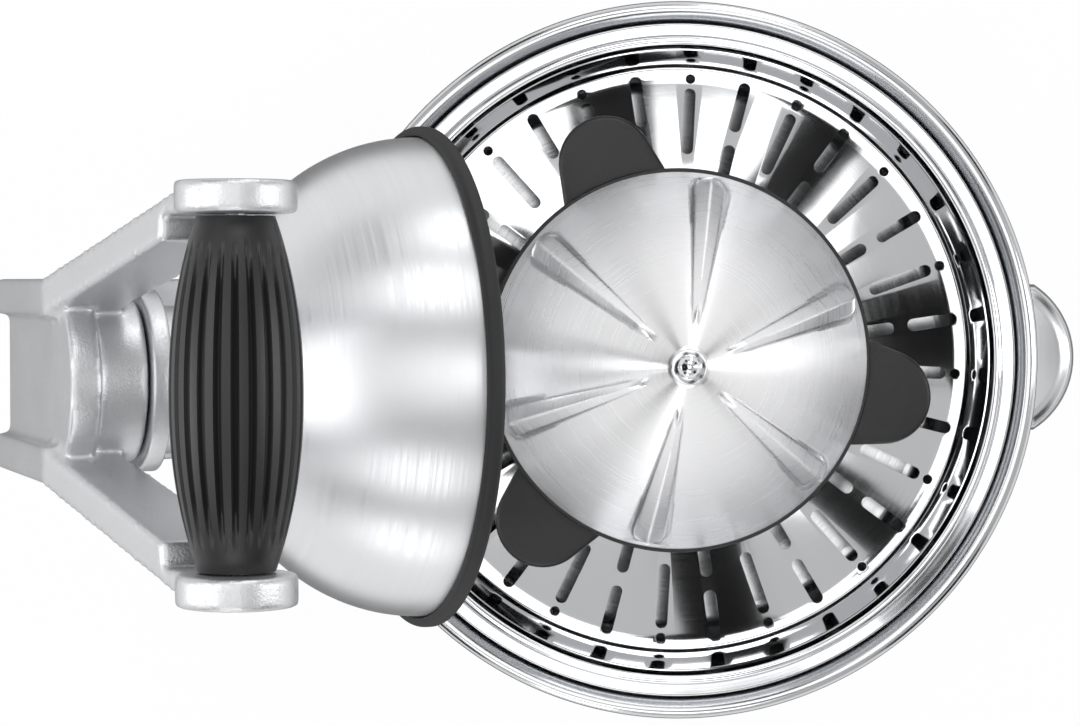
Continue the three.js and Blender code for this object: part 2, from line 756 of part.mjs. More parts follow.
function buildSwitch(group) {
  const plungerTop = spindleBottom - gap;
  const switchTop = plungerTop - plungerShown;
  const switchRight = switchLeft + switchSize.x;
  const box = block(
    [switchLeft, switchRight],
    [-switchSize.y / 2, switchSize.y / 2],
    [switchTop - switchSize.z, switchTop],
  );
  const plungerBottom = plungerTop - plungerLength;
  const well = rod(plungerRadius + gap, plungerBottom - pressTravel - gap, switchTop + through, 0, 0, 12);
  part(group, 'switch_body', box.subtract(well), finish.black);
  part(group, 'switch_plunger', rod(plungerRadius, plungerBottom, plungerTop, 0, 0, 12), finish.nylon);
  const bracketTop = motorPlateTop - plateThickness - gap;
  const bracketHalf = switchSize.y / 2 + bracket.overhang;
  const leg = block(
    [switchRight + gap, switchRight + gap + bracket.thickness],
    [-bracketHalf, bracketHalf],
    [switchTop - switchSize.z, bracketTop],
  );
  const foot = block(
    [switchRight + gap, switchRight + bracket.foot],
    [-bracketHalf, bracketHalf],
    [bracketTop - bracket.thickness, bracketTop],
  );
  part(group, 'switch_bracket', leg.add(foot), finish.steel);
}

// ---- Bowl and its spout ----
const ledgeOuter = bowlRimRadius - ledgeInset;
const ledgeInner = ledgeOuter - ledgeWidth;
const nozzleBottom = bowlBottom + nozzleLift;
const nozzleTop = nozzleBottom + nozzleHeight;
const spoutTop = nozzleTop + spoutWall + spoutHeadroom;
const floorTop = bowlBottom + bowlWall;
const wallLow = [bowlFloorRadius + floorCorner.outer, floorTop + floorCorner.rise];
const wallHigh = [ledgeInner + bowlWall, ledgeTop - wallHead];
const wallSlope = (wallHigh[0] - wallLow[0]) / (wallHigh[1] - wallLow[1]);
const spoutRear = wallLow[0] + wallSlope * (spoutTop - wallLow[1]) + spoutBehindWall;
const spoutTip = spoutRear + spoutLength;
const nozzleLength = spoutRear + nozzlePastRear;
const spoutPin = { x: spoutRear + spoutPinPlace.ahead, z: nozzleTop - spoutPinPlace.below };

function buildBowl(group) {
  const lipMiddle = bowlRimRadius - lipRadius;
  const inside = [
    [ledgeInner, ledgeTop],
    [ledgeInner - 0.4, ledgeTop - 2],
    [bowlFloorRadius + wallFoot.run, floorTop + wallFoot.rise],
    ...arc(bowlFloorRadius, floorTop + floorCorner.rise, floorCorner.inner, -45, -90, 1),
    [tubeRadius, floorTop + 1.5],
    [tubeRadius, pressedLevel],
  ];
  const outside = [
    [tubeRadius - tubeWall, pressedLevel],
    [tubeRadius - tubeWall, bowlBottom],
    [bowlFloorRadius, bowlBottom],
    ...arc(bowlFloorRadius, floorTop + floorCorner.rise, floorCorner.outer, -45, 0, 1),
    wallHigh,
    [ledgeOuter + bowlWall - 0.6, ledgeTop - 1.6],
    ...arc(lipMiddle, rimTop - lipRadius, lipRadius, -70, 110, 4),
    [ledgeOuter, ledgeTop],
  ];
  const shell = ring([...inside, ...outside], 32);
  const cavity = turned([[0, floorTop], ...inside.slice(0, -2).reverse(), [0, ledgeTop]], 32);
  const outerBox = block(
    [bowlFloorRadius - nozzleRoots.wall, nozzleLength],
    [-nozzleHalfWidth, nozzleHalfWidth],
    [nozzleBottom, nozzleTop],
  );
  const passage = block(
    [bowlFloorRadius - nozzleRoots.passage, nozzleLength + through],
    [-nozzleHalfWidth + nozzleWall, nozzleHalfWidth - nozzleWall],
    [nozzleBottom + nozzleWall, nozzleTop - nozzleWall],
  );
  const pinBore = crossRod(
    spoutPinRadius + gap, -spoutHalfWidth, spoutHalfWidth, spoutPin.x, spoutPin.z, 10);
  const bowl = cut(shell.add(outerBox.subtract(cavity)), passage, pinBore);
  part(group, 'bowl', bowl, finish.polished);

  for (const [side, sign] of [['left', 1], ['right', -1]]) {
    const pin = crossTurned([
      [0, sign * (nozzleHalfWidth - nozzleWall - 0.6)],
      [spoutPinRadius, sign * (nozzleHalfWidth - nozzleWall - 0.6)],
      [spoutPinRadius, sign * (spoutHalfWidth + gap)],
      [spoutPinRadius + spoutPinHead.flange, sign * (spoutHalfWidth + gap)],
      [spoutPinRadius + spoutPinHead.taper, sign * (spoutHalfWidth + gap + spoutPinHead.height)],
      [0, sign * (spoutHalfWidth + gap + spoutPinHead.height)],
    ], spoutPin.x, spoutPin.z, 12);
    part(group, `spout_pin_${side}`, pin, finish.steel);
  }
}

function spoutOutline(inset) {
  const half = spoutHalfWidth - inset;
  const nose = spoutNoseRadius - inset;
  const centre = spoutTip - spoutNoseRadius;
  const turn = Math.asin(half / nose);
  const shape = new THREE.Shape();
  shape.moveTo(spoutRear, half);
  shape.lineTo(spoutRear, -half);
  shape.absarc(centre, 0, nose, -turn, turn, false);
  shape.closePath();
  return shape;
}

// The spout is a hood, open below and at the back, whose top edge is rounded.
function buildSpout(group) {
  const spoutBottom = spoutTop - spoutHeight;
  const rounded = new THREE.ExtrudeGeometry(spoutOutline(spoutRound), {
    depth: spoutHeight, bevelEnabled: true, bevelThickness: spoutRound, bevelSize: spoutRound,
    bevelSegments: 3, curveSegments: 8,
  }).translate(0, 0, spoutBottom - spoutRound);
  const beyond = 2 * spoutHalfWidth;
  const rear = block(
    [spoutRear - beyond, spoutRear], [-beyond, beyond], [spoutBottom - beyond, spoutTop + beyond]);
  const below = block(
    [spoutRear - beyond, spoutTip + beyond], [-beyond, beyond], [spoutBottom - beyond, spoutBottom]);
  const hollow = slab(spoutOutline(spoutWall), spoutBottom - through, spoutTop - spoutWall, 8);
  const mouth = block(
    [spoutRear - through, spoutRear + spoutRound],
    [-spoutHalfWidth + spoutWall, spoutHalfWidth - spoutWall],
    [spoutBottom - through, spoutTop - spoutWall],
  );
  const pinBore = crossRod(
    spoutPinRadius + gap, -spoutHalfWidth - through, spoutHalfWidth + through, spoutPin.x, spoutPin.z, 10);
  part(group, 'spout', cut(solid(rounded), rear, below, hollow, mouth, pinBore), finish.polished);
}

// ---- Sieve ----
const flangeTop = ledgeTop + gap + sieveWall;
const dishEdge = flangeTop - sieveDrop;
const dishMiddle = pressedLevel - dishCollar;

function slotCutter(angle, from, to) {
  const box = new THREE.BoxGeometry(to - from, slotWidth, dishMiddle - dishEdge + 8 * through);
  return solid(box.translate((from + to) / 2, 0, (dishMiddle + dishEdge) / 2).rotateZ(angle));
}

function buildSieve(group) {
  const beadMiddle = ledgeInner - bead.inset;
  const wallTop = ledgeInner - beadEnd.inset;
  const top = [
    [ledgeOuter - flangeInset, flangeTop],
    [ledgeInner, flangeTop],
    [beadMiddle, flangeTop + bead.rise],
    [wallTop, flangeTop - beadEnd.drop],
    [dishRadius, dishEdge],
    [coneRadius - dishFlat, dishMiddle],
    [tubeRadius + dishBore.ring, dishMiddle],
    [tubeRadius + dishBore.ring, dishMiddle + dishCollar],
    [tubeRadius + dishBore.lip, dishMiddle + dishCollar],
  ];
  const under = [
    [tubeRadius + dishBore.lip, dishMiddle - sieveWall],
    [coneRadius - dishFlat, dishMiddle - sieveWall],
    [dishRadius + sieveWall / 2, dishEdge - sieveWall],
    [wallTop + sieveWall, flangeTop - beadEnd.drop - bead.rise],
    [ledgeInner, flangeTop - sieveWall],
    [ledgeOuter - flangeInset, flangeTop - sieveWall],
  ];
  const dish = ring([...top, ...under], slotRepeats * 2);
  const half = Math.PI / slotRepeats;
  const cutters = around(slotRepeats, slotPhase, (angle) => [
    slotCutter(angle, longSlot.from, longSlot.to),
    slotCutter(angle + half, outerSlot.from, outerSlot.to),
    slotCutter(angle + half, innerSlot.from, innerSlot.to),
    rod(drainHole.radius, dishEdge - 4, dishEdge + 6,
      drainHole.at * Math.cos(angle), drainHole.at * Math.sin(angle), 6),
  ]).flat();
  part(group, 'sieve', cut(dish, ...cutters), finish.polished);
}

// ---- Reamer cone ----
function coneZ(radius, base) {
  return coneBase + coneHeight * (1 - (radius / base) ** coneBulge);
}

function coneProfile(base, steps, least) {
  return Array.from({ length: steps + 1 }, (_, i) => {
    const radius = base + (least - base) * i / steps;
    return [radius, coneZ(radius, base)];
  });
}

// A pressed rib: a long drop shape, round at its outer end, half sunk into the cone.
function rib(angle) {
  const length = Math.hypot(ribTo - ribFrom, coneZ(ribFrom, coneRadius) - coneZ(ribTo, coneRadius));
  const slope = Math.atan2(coneZ(ribFrom, coneRadius) - coneZ(ribTo, coneRadius), ribTo - ribFrom);
  const drop = turnedGeometry([
    [0, 0],
    ...ribShape.map(([across, along]) => [ribWidth * across, length * along]),
    ...arc(0, length - ribWidth, ribWidth, 0, 90, 2).slice(0, -1),
    [0, length],
  ], 6);
  return solid(drop.rotateY(Math.PI / 2 + slope)
    .translate(ribFrom, 0, coneZ(ribFrom, coneRadius) + ribLift).rotateZ(angle));
}

function buildCone(group) {
  const outerWall = ring([
    [coneRingRadius - coneRingWall, coneRingBottom],
    [coneRingRadius, coneRingBottom],
    [coneRingRadius, coneBase - gap],
    [coneRingRadius - coneRingWall, coneBase - gap],
  ], 28);
  const floor = rod(coneRingRadius - 0.5, coneRingBottom, coneRingBottom + coneFloor, 0, 0, 28);
  const hubTop = coneZ(hubRadius + 1, coneRadius) - coneWall - coneHubRoom;
  const hub = rod(hubRadius, coneRingBottom, hubTop, 0, 0, 14);
  const ears = around(earCount, earPhase, (angle) => {
    const ear = slab(
      strap([coneRingRadius - 10, 0], earRadius + 3, [earReach - earRadius, 0], earRadius),
      coneRingBottom, coneRingBottom + earThickness, 10);
    return ear.rotate([0, 0, angle * 180 / Math.PI]);
  });
  const socket = hexBore(driveHexRadius + driveHexSlack, coneRingBottom - through, coneSeat + gap);
  const rivetBore = rod(
    rivetShankRadius + gap, hubTop - rivetShankDepth - through, hubTop + through, 0, 0, 12);
  const base = cut(joined(outerWall, floor, hub, ...ears), socket, rivetBore);
  part(group, 'cone_base', base, finish.black);

  const outer = coneProfile(coneRadius, 5, coneTipRadius);
  const least = rivetShankRadius + gap;
  const inner = coneProfile(coneRadius - coneWall * 1.3, 4, coneTipRadius)
    .map(([r, z]) => [r, z - coneWall]);
  const skin = [
    ...outer,
    [least, outer[outer.length - 1][1]],
    [least, inner[inner.length - 1][1]],
    ...inner.slice(1).reverse(),
    [coneRadius - coneWall * 1.3, coneBase],
  ];
  const inside = turned([[0, coneBase - 5], [inner[0][0], coneBase - 5],
    [inner[0][0], coneBase], ...inner.slice(1), [0, inner[inner.length - 1][1]]], 28);
  const ribs = around(ribCount, ribPhase, (angle) => rib(angle).subtract(inside));
  const shell = joined(ring(skin, 28), ...ribs);
  part(group, 'cone_shell', shell, finish.brushed);

  const headBottom = outer[outer.length - 1][1] + gap;
  const rivet = turned([
    [0, hubTop - rivetShankDepth],
    [rivetShankRadius, hubTop - rivetShankDepth],
    [rivetShankRadius, headBottom],
    [coneTipRadius - rivetWasher.inset, headBottom],
    [coneTipRadius - rivetWasher.inset, headBottom + rivetWasher.height],
    [rivetHeadRadius, headBottom + rivetWasher.height],
    [rivetHeadRadius * rivetDome.crown, headBottom + rivetDome.shoulder],
    [0, headBottom + rivetDome.top],
  ], 14);
  part(group, 'cone_rivet', rivet, finish.polished);
}

// ---- Lever arm, drawn about its pivot in the closed position ----
function domeProfile(radius, depth, crown, steps) {
  const last = Math.acos(crown / radius);
  return Array.from({ length: steps + 1 }, (_, i) => {
    const turn = last * i / steps;
    return [radius * Math.cos(turn), domeRimZ + depth * Math.sin(turn)];
  });
}

function centred(body) {
  return body.translate([domeX, 0, 0]);
}

function buildCasting(group) {
  const railZ = railTop - railRadius;
  const corner = [railCornerX, railZ];
  const kink = [splayStart, railZ];
  const stopBar = [stopBarReach * Math.cos(stopBarAngle), stopBarReach * Math.sin(stopBarAngle)];
  const bushBore = pinRadius + gap + bushWall + gap;
  const frontReach = (gripX - splayStart) / Math.cos(splayAngle);
  const frontEnd = [splayStart + frontReach, gripZ];
  let arm = joined(
    slab(webOutline(), webTop - webThickness, webTop),
    rod(neckRadius, neckBottom, webTop - through, domeX, 0, 20),
    crossRod(stopBarRadius, -railInner - through, railInner + through, stopBar[0], stopBar[1], 12),
  );
  for (const side of [1, -1]) {
    const [from, to] = side > 0 ? [railInner, railOuter] : [-railOuter, -railInner];
    const front = sidePlateGeometry(strap(kink, railRadius, frontEnd, bossRadius - bossNeck), from, to);
    front.translate(-splayStart, -side * railOuter, 0).rotateZ(side * splayAngle)
      .translate(splayStart, side * railOuter, 0);
    const boss = side > 0 ? [bossInner, bossOuter] : [-bossOuter, -bossInner];
    arm = joined(
      arm,
      sidePlate(strap([0, 0], eyeRadius, corner, railRadius), from, to),
      sidePlate(strap([0, 0], eyeRadius, stopBar, stopBarRadius + 2), from, to),
      sidePlate(strap(corner, railRadius, kink, railRadius), from, to),
      solid(front),
      crossRod(bossRadius, boss[0], boss[1], gripX, gripZ, 20),
    );
  }
  const trimSide = bossOuter + trimReach;
  const trimHeight = [gripZ - trim, gripZ + trim];
  arm = cut(
    arm,
    crossRod(bushBore, -railOuter - through, railOuter + through, 0, 0, 20),
    crossRod(gripScrewRadius + gap, -trimSide, trimSide, gripX, gripZ, 12),
    crossRod(gripHeadRadius + gap, bossOuter - gripHeadDepth, trimSide, gripX, gripZ, 16),
    crossRod(gripHeadRadius + gap, -trimSide, -bossOuter + gripHeadDepth, gripX, gripZ, 16),
    block([gripX - trim, gripX + trim], [bossOuter, trimSide], trimHeight),
    block([gripX - trim, gripX + trim], [-trimSide, -bossOuter], trimHeight),
    block([gripX - gripRoom, gripX + trim], [-bossInner, bossInner], trimHeight),
    rod(boltRadius + gap, neckBottom - through, webTop - webThickness, domeX, 0, 12),
  );
  part(group, 'arm_casting', arm, finish.casting);
}

function webOutline() {
  const half = railInner + 1;
  const sagitta = webFront - webFrontSide;
  const bend = (half ** 2 + sagitta ** 2) / (2 * sagitta);
  const turn = Math.asin(half / bend);
  const shape = new THREE.Shape();
  shape.moveTo(railCornerX - 3, half);
  shape.lineTo(railCornerX - 3, -half);
  shape.absarc(webFront - bend, 0, bend, -turn, turn, false);
  shape.closePath();
  return shape;
}

function buildDome(group) {
  const crownTop = domeRimZ + domeDepth * Math.sqrt(1 - (crownRadius / domeRadius) ** 2);
  const boltHole = boltRadius + gap;
  const layer = (inset, wall, steps) => {
    const outer = domeProfile(domeRadius - inset, domeDepth - inset, crownRadius, steps);
    const inner = domeProfile(domeRadius - inset - wall, domeDepth - inset - wall, crownRadius, steps);
    return ring([...outer, [boltHole, outer[steps][1]], [boltHole, inner[steps][1]], ...inner.reverse()], 28);
  };
  part(group, 'dome_shell', centred(layer(0, domeWall, 6)), finish.brushed);
  part(group, 'dome_liner', centred(layer(domeWall + gap, linerWall, 4)), finish.black);
  const lip = domeRadius + domeRingThickness + gap;
  const innerLip = domeRadius - domeWall - gap - linerWall;
  const rim = ring([
    [innerLip, domeRimZ - gap - domeRingThickness],
    [lip, domeRimZ - gap - domeRingThickness],
    [lip, domeRimZ + domeRingHeight - domeRingThickness],
    [domeRadius + gap, domeRimZ + domeRingHeight - domeRingThickness],
    [domeRadius + gap, domeRimZ - gap],
    [innerLip, domeRimZ - gap],
  ], 28);
  part(group, 'dome_ring', centred(rim), finish.rubber);
  const collar = ring([
    [boltHole, crownTop + gap],
    [crownRadius - hubFoot.inset, crownTop + gap],
    [neckRadius - hubFoot.wall, crownTop + hubFoot.rise],
    [neckRadius - hubFoot.wall, collarFlange.bottom],
    [collarFlange.radius, collarFlange.bottom],
    [collarFlange.radius, collarFlange.top],
    [boltHole, collarFlange.top],
  ], 20);
  part(group, 'hub_collar', centred(collar), finish.casting);
  const underCrown = crownUnder() - gap;
  const bolt = turned([
    [0, underCrown - boltHead.height],
    [boltRadius + boltHead.inner, underCrown - boltHead.height],
    [boltRadius + boltHead.outer, underCrown - boltHead.edge],
    [boltRadius + boltHead.outer, underCrown],
    [boltRadius, underCrown],
    [boltRadius, webTop - webThickness - boltRoom],
    [0, webTop - webThickness - boltRoom],
  ], 12);
  part(group, 'dome_bolt', centred(bolt), finish.steel);
}

// The underside of the liner's flat crown.
function crownUnder() {
  const inset = domeWall + gap + linerWall;
  const share = crownRadius / (domeRadius - inset);
  return domeRimZ + (domeDepth - inset) * Math.sqrt(1 - share ** 2);
}

function buildGrip(group) {
  const half = bossInner - gap;
  const steps = 6;
  const barrel = Array.from({ length: steps + 1 }, (_, i) => {
    const share = 2 * i / steps - 1;
    return [gripMiddle + (gripEnd - gripMiddle) * share ** 2, half * share];
  });
  const bore = gripRodRadius + gap;
  part(group, 'grip_sleeve', crossTurned(
    [[bore, -half], ...barrel, [bore, half], [bore, -half]], gripX, gripZ, 18), finish.black);
  const rodBody = crossRod(gripRodRadius, -half, half, gripX, gripZ, 12);
  const taps = [1, -1].map((side) => crossRod(
    gripScrewRadius + gap, side > 0 ? half - gripScrewDepth - gap : -half - through,
    side > 0 ? half + through : -half + gripScrewDepth + gap, gripX, gripZ, 12));
  part(group, 'grip_rod', cut(rodBody, ...taps), finish.steel);
  for (const [name, side] of [['left', 1], ['right', -1]]) {
    const screw = crossTurned([
      [0, side * (half - gripScrewDepth)],
      [gripScrewRadius, side * (half - gripScrewDepth)],
      [gripScrewRadius, side * (bossOuter - gripHeadDepth + gap)],
      [gripHeadRadius, side * (bossOuter - gripHeadDepth + gap)],
      [gripHeadRadius, side * (bossOuter - gripHeadEdge.rise)],
      [gripHeadRadius - gripHeadEdge.run, side * bossOuter],
      [0, side * bossOuter],
    ], gripX, gripZ, 12);
    part(group, `grip_screw_${name}`, screw, finish.steel);
    const bush = [
      [pinRadius + gap, side * railInner],
      [pinRadius + gap + bushWall, side * railInner],
      [pinRadius + gap + bushWall, side * railOuter],
      [pinRadius + gap, side * railOuter],
      [pinRadius + gap, side * railInner],
    ];
    part(group, `hinge_bush_${name}`, crossTurned(bush, 0, 0, 20), finish.bronze);
  }
}

// ---- Assembly ----
const press = new THREE.Group();
const builders = [
  buildBase, buildColumn, buildHinge, buildHousing, buildFrame, buildMotor, buildGears,
  buildSpindle, buildSwitch, buildBowl, buildSpout, buildSieve, buildCone,
];
for (const build of builders) build(press);
const arm = new THREE.Group();
for (const build of [buildCasting, buildDome, buildGrip]) build(arm);
arm.position.set(pivotX, 0, pivotZ);
arm.rotation.y = -openAngle;
press.add(arm);

press.updateMatrixWorld(true);
const extent = new THREE.Box3().setFromObject(press, true);
press.position.x = -(extent.min.x + extent.max.x) / 2;
press.updateMatrixWorld(true);

export default press;
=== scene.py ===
"""Lever-arm citrus press: the visible surfaces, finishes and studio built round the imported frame."""

import json
import logging
import math
from dataclasses import dataclass
from enum import Enum
from typing import Any, Callable, Sequence

import bmesh
import bpy
from mathutils import Matrix, Vector

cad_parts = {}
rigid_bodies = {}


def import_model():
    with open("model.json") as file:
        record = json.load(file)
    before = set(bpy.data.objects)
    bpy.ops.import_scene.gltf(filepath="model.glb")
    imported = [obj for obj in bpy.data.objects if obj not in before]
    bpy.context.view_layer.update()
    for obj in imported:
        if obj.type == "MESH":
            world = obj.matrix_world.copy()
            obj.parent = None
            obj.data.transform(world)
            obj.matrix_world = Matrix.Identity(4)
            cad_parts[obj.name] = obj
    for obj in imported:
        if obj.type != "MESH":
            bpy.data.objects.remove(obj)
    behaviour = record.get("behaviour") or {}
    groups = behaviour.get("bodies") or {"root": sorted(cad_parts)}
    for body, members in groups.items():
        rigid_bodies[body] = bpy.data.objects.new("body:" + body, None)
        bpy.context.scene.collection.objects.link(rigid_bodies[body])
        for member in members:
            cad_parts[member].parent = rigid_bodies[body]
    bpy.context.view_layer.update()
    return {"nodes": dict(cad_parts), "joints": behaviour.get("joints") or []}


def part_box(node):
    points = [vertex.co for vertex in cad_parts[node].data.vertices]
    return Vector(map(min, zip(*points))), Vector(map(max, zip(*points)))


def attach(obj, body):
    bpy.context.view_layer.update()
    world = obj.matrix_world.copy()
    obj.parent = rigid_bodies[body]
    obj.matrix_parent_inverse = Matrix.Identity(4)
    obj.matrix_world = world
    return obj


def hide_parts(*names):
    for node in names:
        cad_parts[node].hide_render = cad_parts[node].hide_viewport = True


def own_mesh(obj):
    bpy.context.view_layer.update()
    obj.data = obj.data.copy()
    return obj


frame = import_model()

MM = 0.001
TAU = 2 * math.pi
log = logging.getLogger("citrus_press")

Point = tuple[float, float]


# ---------------------------------------------------------------- modelling bench


class Axis(Enum):
    """The direction that a turned piece turns about."""

    X = (1, 0, 0)
    Y = (0, 1, 0)
    Z = (0, 0, 1)


class Join(Enum):
    """What a boolean does with its tool."""

    CUT = "DIFFERENCE"
    UNITE = "UNION"


def deselect() -> None:
    """Leaves nothing selected."""
    for obj in bpy.context.view_layer.objects:
        obj.select_set(False)


def activate(obj: bpy.types.Object) -> None:
    """Makes one object the only selected one and the active one."""
    deselect()
    obj.select_set(True)
    bpy.context.view_layer.objects.active = obj


def wire(name: str, points: Sequence[Vector], closed: bool) -> bpy.types.Object:
    """Draws an open or closed wire by extruding one vertex from point to point.

    Args:
        name: the object's name.
        points: the wire's points, in metres.
        closed: whether the last point joins the first.

    Returns:
        The object, left in edit mode with everything selected.
    """
    deselect()
    bpy.ops.mesh.primitive_plane_add(size=MM, location=points[0])
    obj = bpy.context.object
    obj.name = name
    bpy.ops.object.transform_apply(location=True, rotation=True, scale=True)
    bpy.ops.object.mode_set(mode="EDIT")
    bpy.ops.mesh.select_all(action="SELECT")
    bpy.ops.mesh.merge(type="CENTER")
    for here, there in zip(points, points[1:]):
        bpy.ops.mesh.extrude_vertices_move(TRANSFORM_OT_translate={"value": there - here})
    if closed:
        bpy.ops.mesh.select_all(action="DESELECT")
        shape = bmesh.from_edit_mesh(obj.data)
        for vertex in shape.verts:
            vertex.select = len(vertex.link_edges) == 1
        shape.select_flush(True)
        bmesh.update_edit_mesh(obj.data)
        bpy.ops.mesh.edge_face_add()
    bpy.ops.mesh.select_all(action="SELECT")
    return obj


def turned(
    name: str,
    profile: Sequence[Point],
    steps: int = 128,
    axis: Axis = Axis.Z,
    closed: bool = True,
) -> bpy.types.Object:
    """Spins a profile round an axis through the origin.

    Args:
        name: the object's name.
        profile: (radius, height along the axis) pairs in millimetres.
        steps: how many steps the full turn takes.
        axis: the axis of the turn.
        closed: whether the profile closes on itself; an open one starts and ends on the axis.

    Returns:
        The closed turned object, in object mode, at the origin.
    """
    place = {
        Axis.X: lambda r, h: Vector((h, 0, r)),
        Axis.Y: lambda r, h: Vector((r, h, 0)),
        Axis.Z: lambda r, h: Vector((r, 0, h)),
    }[axis]
    obj = wire(name, [place(r, h) * MM for r, h in profile], closed)
    bpy.ops.mesh.spin(steps=steps, angle=TAU, center=(0, 0, 0), axis=axis.value)
    tidy_edit_mesh()
    return obj


def tidy_edit_mesh() -> None:
    """Merges doubles, points the faces outwards and goes back to object mode."""
    bpy.ops.mesh.select_all(action="SELECT")
    bpy.ops.mesh.remove_doubles(threshold=1e-6)
    bpy.ops.mesh.normals_make_consistent(inside=False)
    bpy.ops.object.mode_set(mode="OBJECT")


def plate(
    name: str, outline: Sequence[Point], low: float, high: float, axis: Axis = Axis.Z
) -> bpy.types.Object:
    """Extrudes a closed outline into a plate.

    Args:
        name: the object's name.
        outline: (x, y) pairs for a plate along Z or (x, z) pairs for one along Y, in millimetres.
        low: where the plate starts along its axis, in millimetres.
        high: where it ends.
        axis: the direction of the plate's thickness, Y or Z.

    Returns:
        The plate in object mode.
    """
    if axis is Axis.Z:
        points = [Vector((u, v, low)) * MM for u, v in outline]
    else:
        points = [Vector((u, low, v)) * MM for u, v in outline]
    obj = wire(name, points, closed=True)
    bpy.ops.mesh.edge_face_add()
    step = Vector(axis.value) * (high - low) * MM
    bpy.ops.mesh.extrude_region_move(TRANSFORM_OT_translate={"value": step})
    tidy_edit_mesh()
    return obj


def apply_modifier(obj: bpy.types.Object, kind: str, **settings: Any) -> bpy.types.Object:
    """Adds a modifier to an object and applies it.

    Args:
        obj: the object.
        kind: the modifier's type.
        **settings: its settings.

    Returns:
        The same object.
    """
    activate(obj)
    modifier = obj.modifiers.new(kind.lower(), kind)
    for key, value in settings.items():
        setattr(modifier, key, value)
    bpy.ops.object.modifier_apply(modifier=modifier.name)
    return obj


def bevelled(obj: bpy.types.Object, width: float, segments: int = 3, angle: float = 35) -> bpy.types.Object:
    """Rounds an object's sharp edges, with the width in millimetres and the angle in degrees."""
    return apply_modifier(
        obj, "BEVEL", width=width * MM, segments=segments, limit_method="ANGLE",
        angle_limit=math.radians(angle), use_clamp_overlap=True,
    )


def merged(objects: Sequence[bpy.types.Object]) -> bpy.types.Object:
    """Joins objects into the first one.

    Args:
        objects: the objects, of which the first one stays.

    Returns:
        The first object.
    """
    activate(objects[0])
    for obj in objects:
        obj.select_set(True)
    bpy.ops.object.join()
    return objects[0]


def combine(obj: bpy.types.Object, other: bpy.types.Object, join: Join) -> bpy.types.Object:
    """Cuts or joins one object with another by a boolean, and removes the other.

    Args:
        obj: the piece that stays.
        other: the tool, which is removed.
        join: whether the tool is cut out of the piece or united with it.

    Returns:
        The piece that stays.
    """
    apply_modifier(obj, "BOOLEAN", object=other, operation=join.value, solver="EXACT", use_self=True)
    bpy.data.objects.remove(other)
    return obj


def placed(obj: bpy.types.Object, matrix: Matrix) -> bpy.types.Object:
    """Moves an object's mesh by a matrix and leaves the object at the origin.

    Args:
        obj: the object.
        matrix: the move, in metres.

    Returns:
        The same object.
    """
    activate(obj)
    obj.matrix_world = matrix @ obj.matrix_world
    bpy.ops.object.transform_apply(location=True, rotation=True, scale=True)
    return obj


def copied(obj: bpy.types.Object, matrix: Matrix) -> bpy.types.Object:
    """A copy of an object with its own mesh, moved by a matrix.

    Args:
        obj: the object to copy.
        matrix: the move, in metres.

    Returns:
        The copy.
    """
    twin = obj.copy()
    twin.data = obj.data.copy()
    bpy.context.scene.collection.objects.link(twin)
    return placed(twin, matrix)


def shifted(x: float = 0, y: float = 0, z: float = 0) -> Matrix:
    """A move in millimetres, as a matrix."""
    return Matrix.Translation(Vector((x, y, z)) * MM)


def smoothed(obj: bpy.types.Object, angle: float = 32) -> bpy.types.Object:
    """Shades an object smooth where its faces meet at less than an angle in degrees.

    Args:
        obj: the object.
        angle: the sharpest angle that is still smooth.

    Returns:
        The same object.
    """
    activate(obj)
    bpy.ops.object.shade_smooth_by_angle(angle=math.radians(angle))
    return obj


def arc(x: float, z: float, radius: float, start: float, end: float, steps: int = 6) -> list[Point]:
    """Points on an arc about (x, z), from one angle to another in degrees."""
    turns = (math.radians(start + (end - start) * i / steps) for i in range(steps + 1))
    return [(x + radius * math.cos(t), z + radius * math.sin(t)) for t in turns]


def rectangle(left: float, low: float, right: float, high: float) -> list[Point]:
    """The outline of an upright rectangle."""
    return [(left, low), (right, low), (right, high), (left, high)]


def strap(p: Point, rp: float, q: Point, rq: float, steps: int = 14) -> list[Point]:
    """The outline of two circles joined by their outer tangents.

    Args:
        p: the first circle's centre, in millimetres.
        rp: its radius.
        q: the second circle's centre.
        rq: its radius, other than the first.
        steps: how many steps each round end takes.

    Returns:
        The outline's points.
    """
    heading = math.degrees(math.atan2(q[1] - p[1], q[0] - p[0]))
    lean = math.degrees(math.acos((rp - rq) / math.dist(p, q)))
    return [
        *arc(*p, rp, heading + lean, heading - lean + 360, steps),
        *arc(*q, rq, heading - lean, heading + lean, steps),
    ]


def bore(radius: float, low: float, high: float, axis: Axis = Axis.Z, steps: int = 48) -> bpy.types.Object:
    """A round plug along an axis through the origin, to cut with or to add."""
    return turned("plug", [(0, low), (radius, low), (radius, high), (0, high)], steps, axis, closed=False)


def reshape(obj: bpy.types.Object, move: Callable[[Vector], Vector]) -> bpy.types.Object:
    """Moves every vertex by a function of its place, in millimetres.

    Args:
        obj: the object.
        move: gives a vertex's new place from its old one.

    Returns:
        The same object.
    """
    for vertex in obj.data.vertices:
        vertex.co = move(vertex.co / MM) * MM
    obj.data.update()
    return obj


# ---------------------------------------------------------------- finishes


def linear(hex_colour: str) -> tuple[float, float, float, float]:
    """An sRGB hex colour as linear red, green, blue and alpha.

    Args:
        hex_colour: the colour, as "#RRGGBB".

    Returns:
        Linear red, green, blue and alpha.
    """
    channels = [int(hex_colour[i:i + 2], 16) / 255 for i in (1, 3, 5)]
    red, green, blue = (
        c / 12.92 if c <= 0.04045 else ((c + 0.055) / 1.055) ** 2.4 for c in channels
    )
    return red, green, blue, 1.0


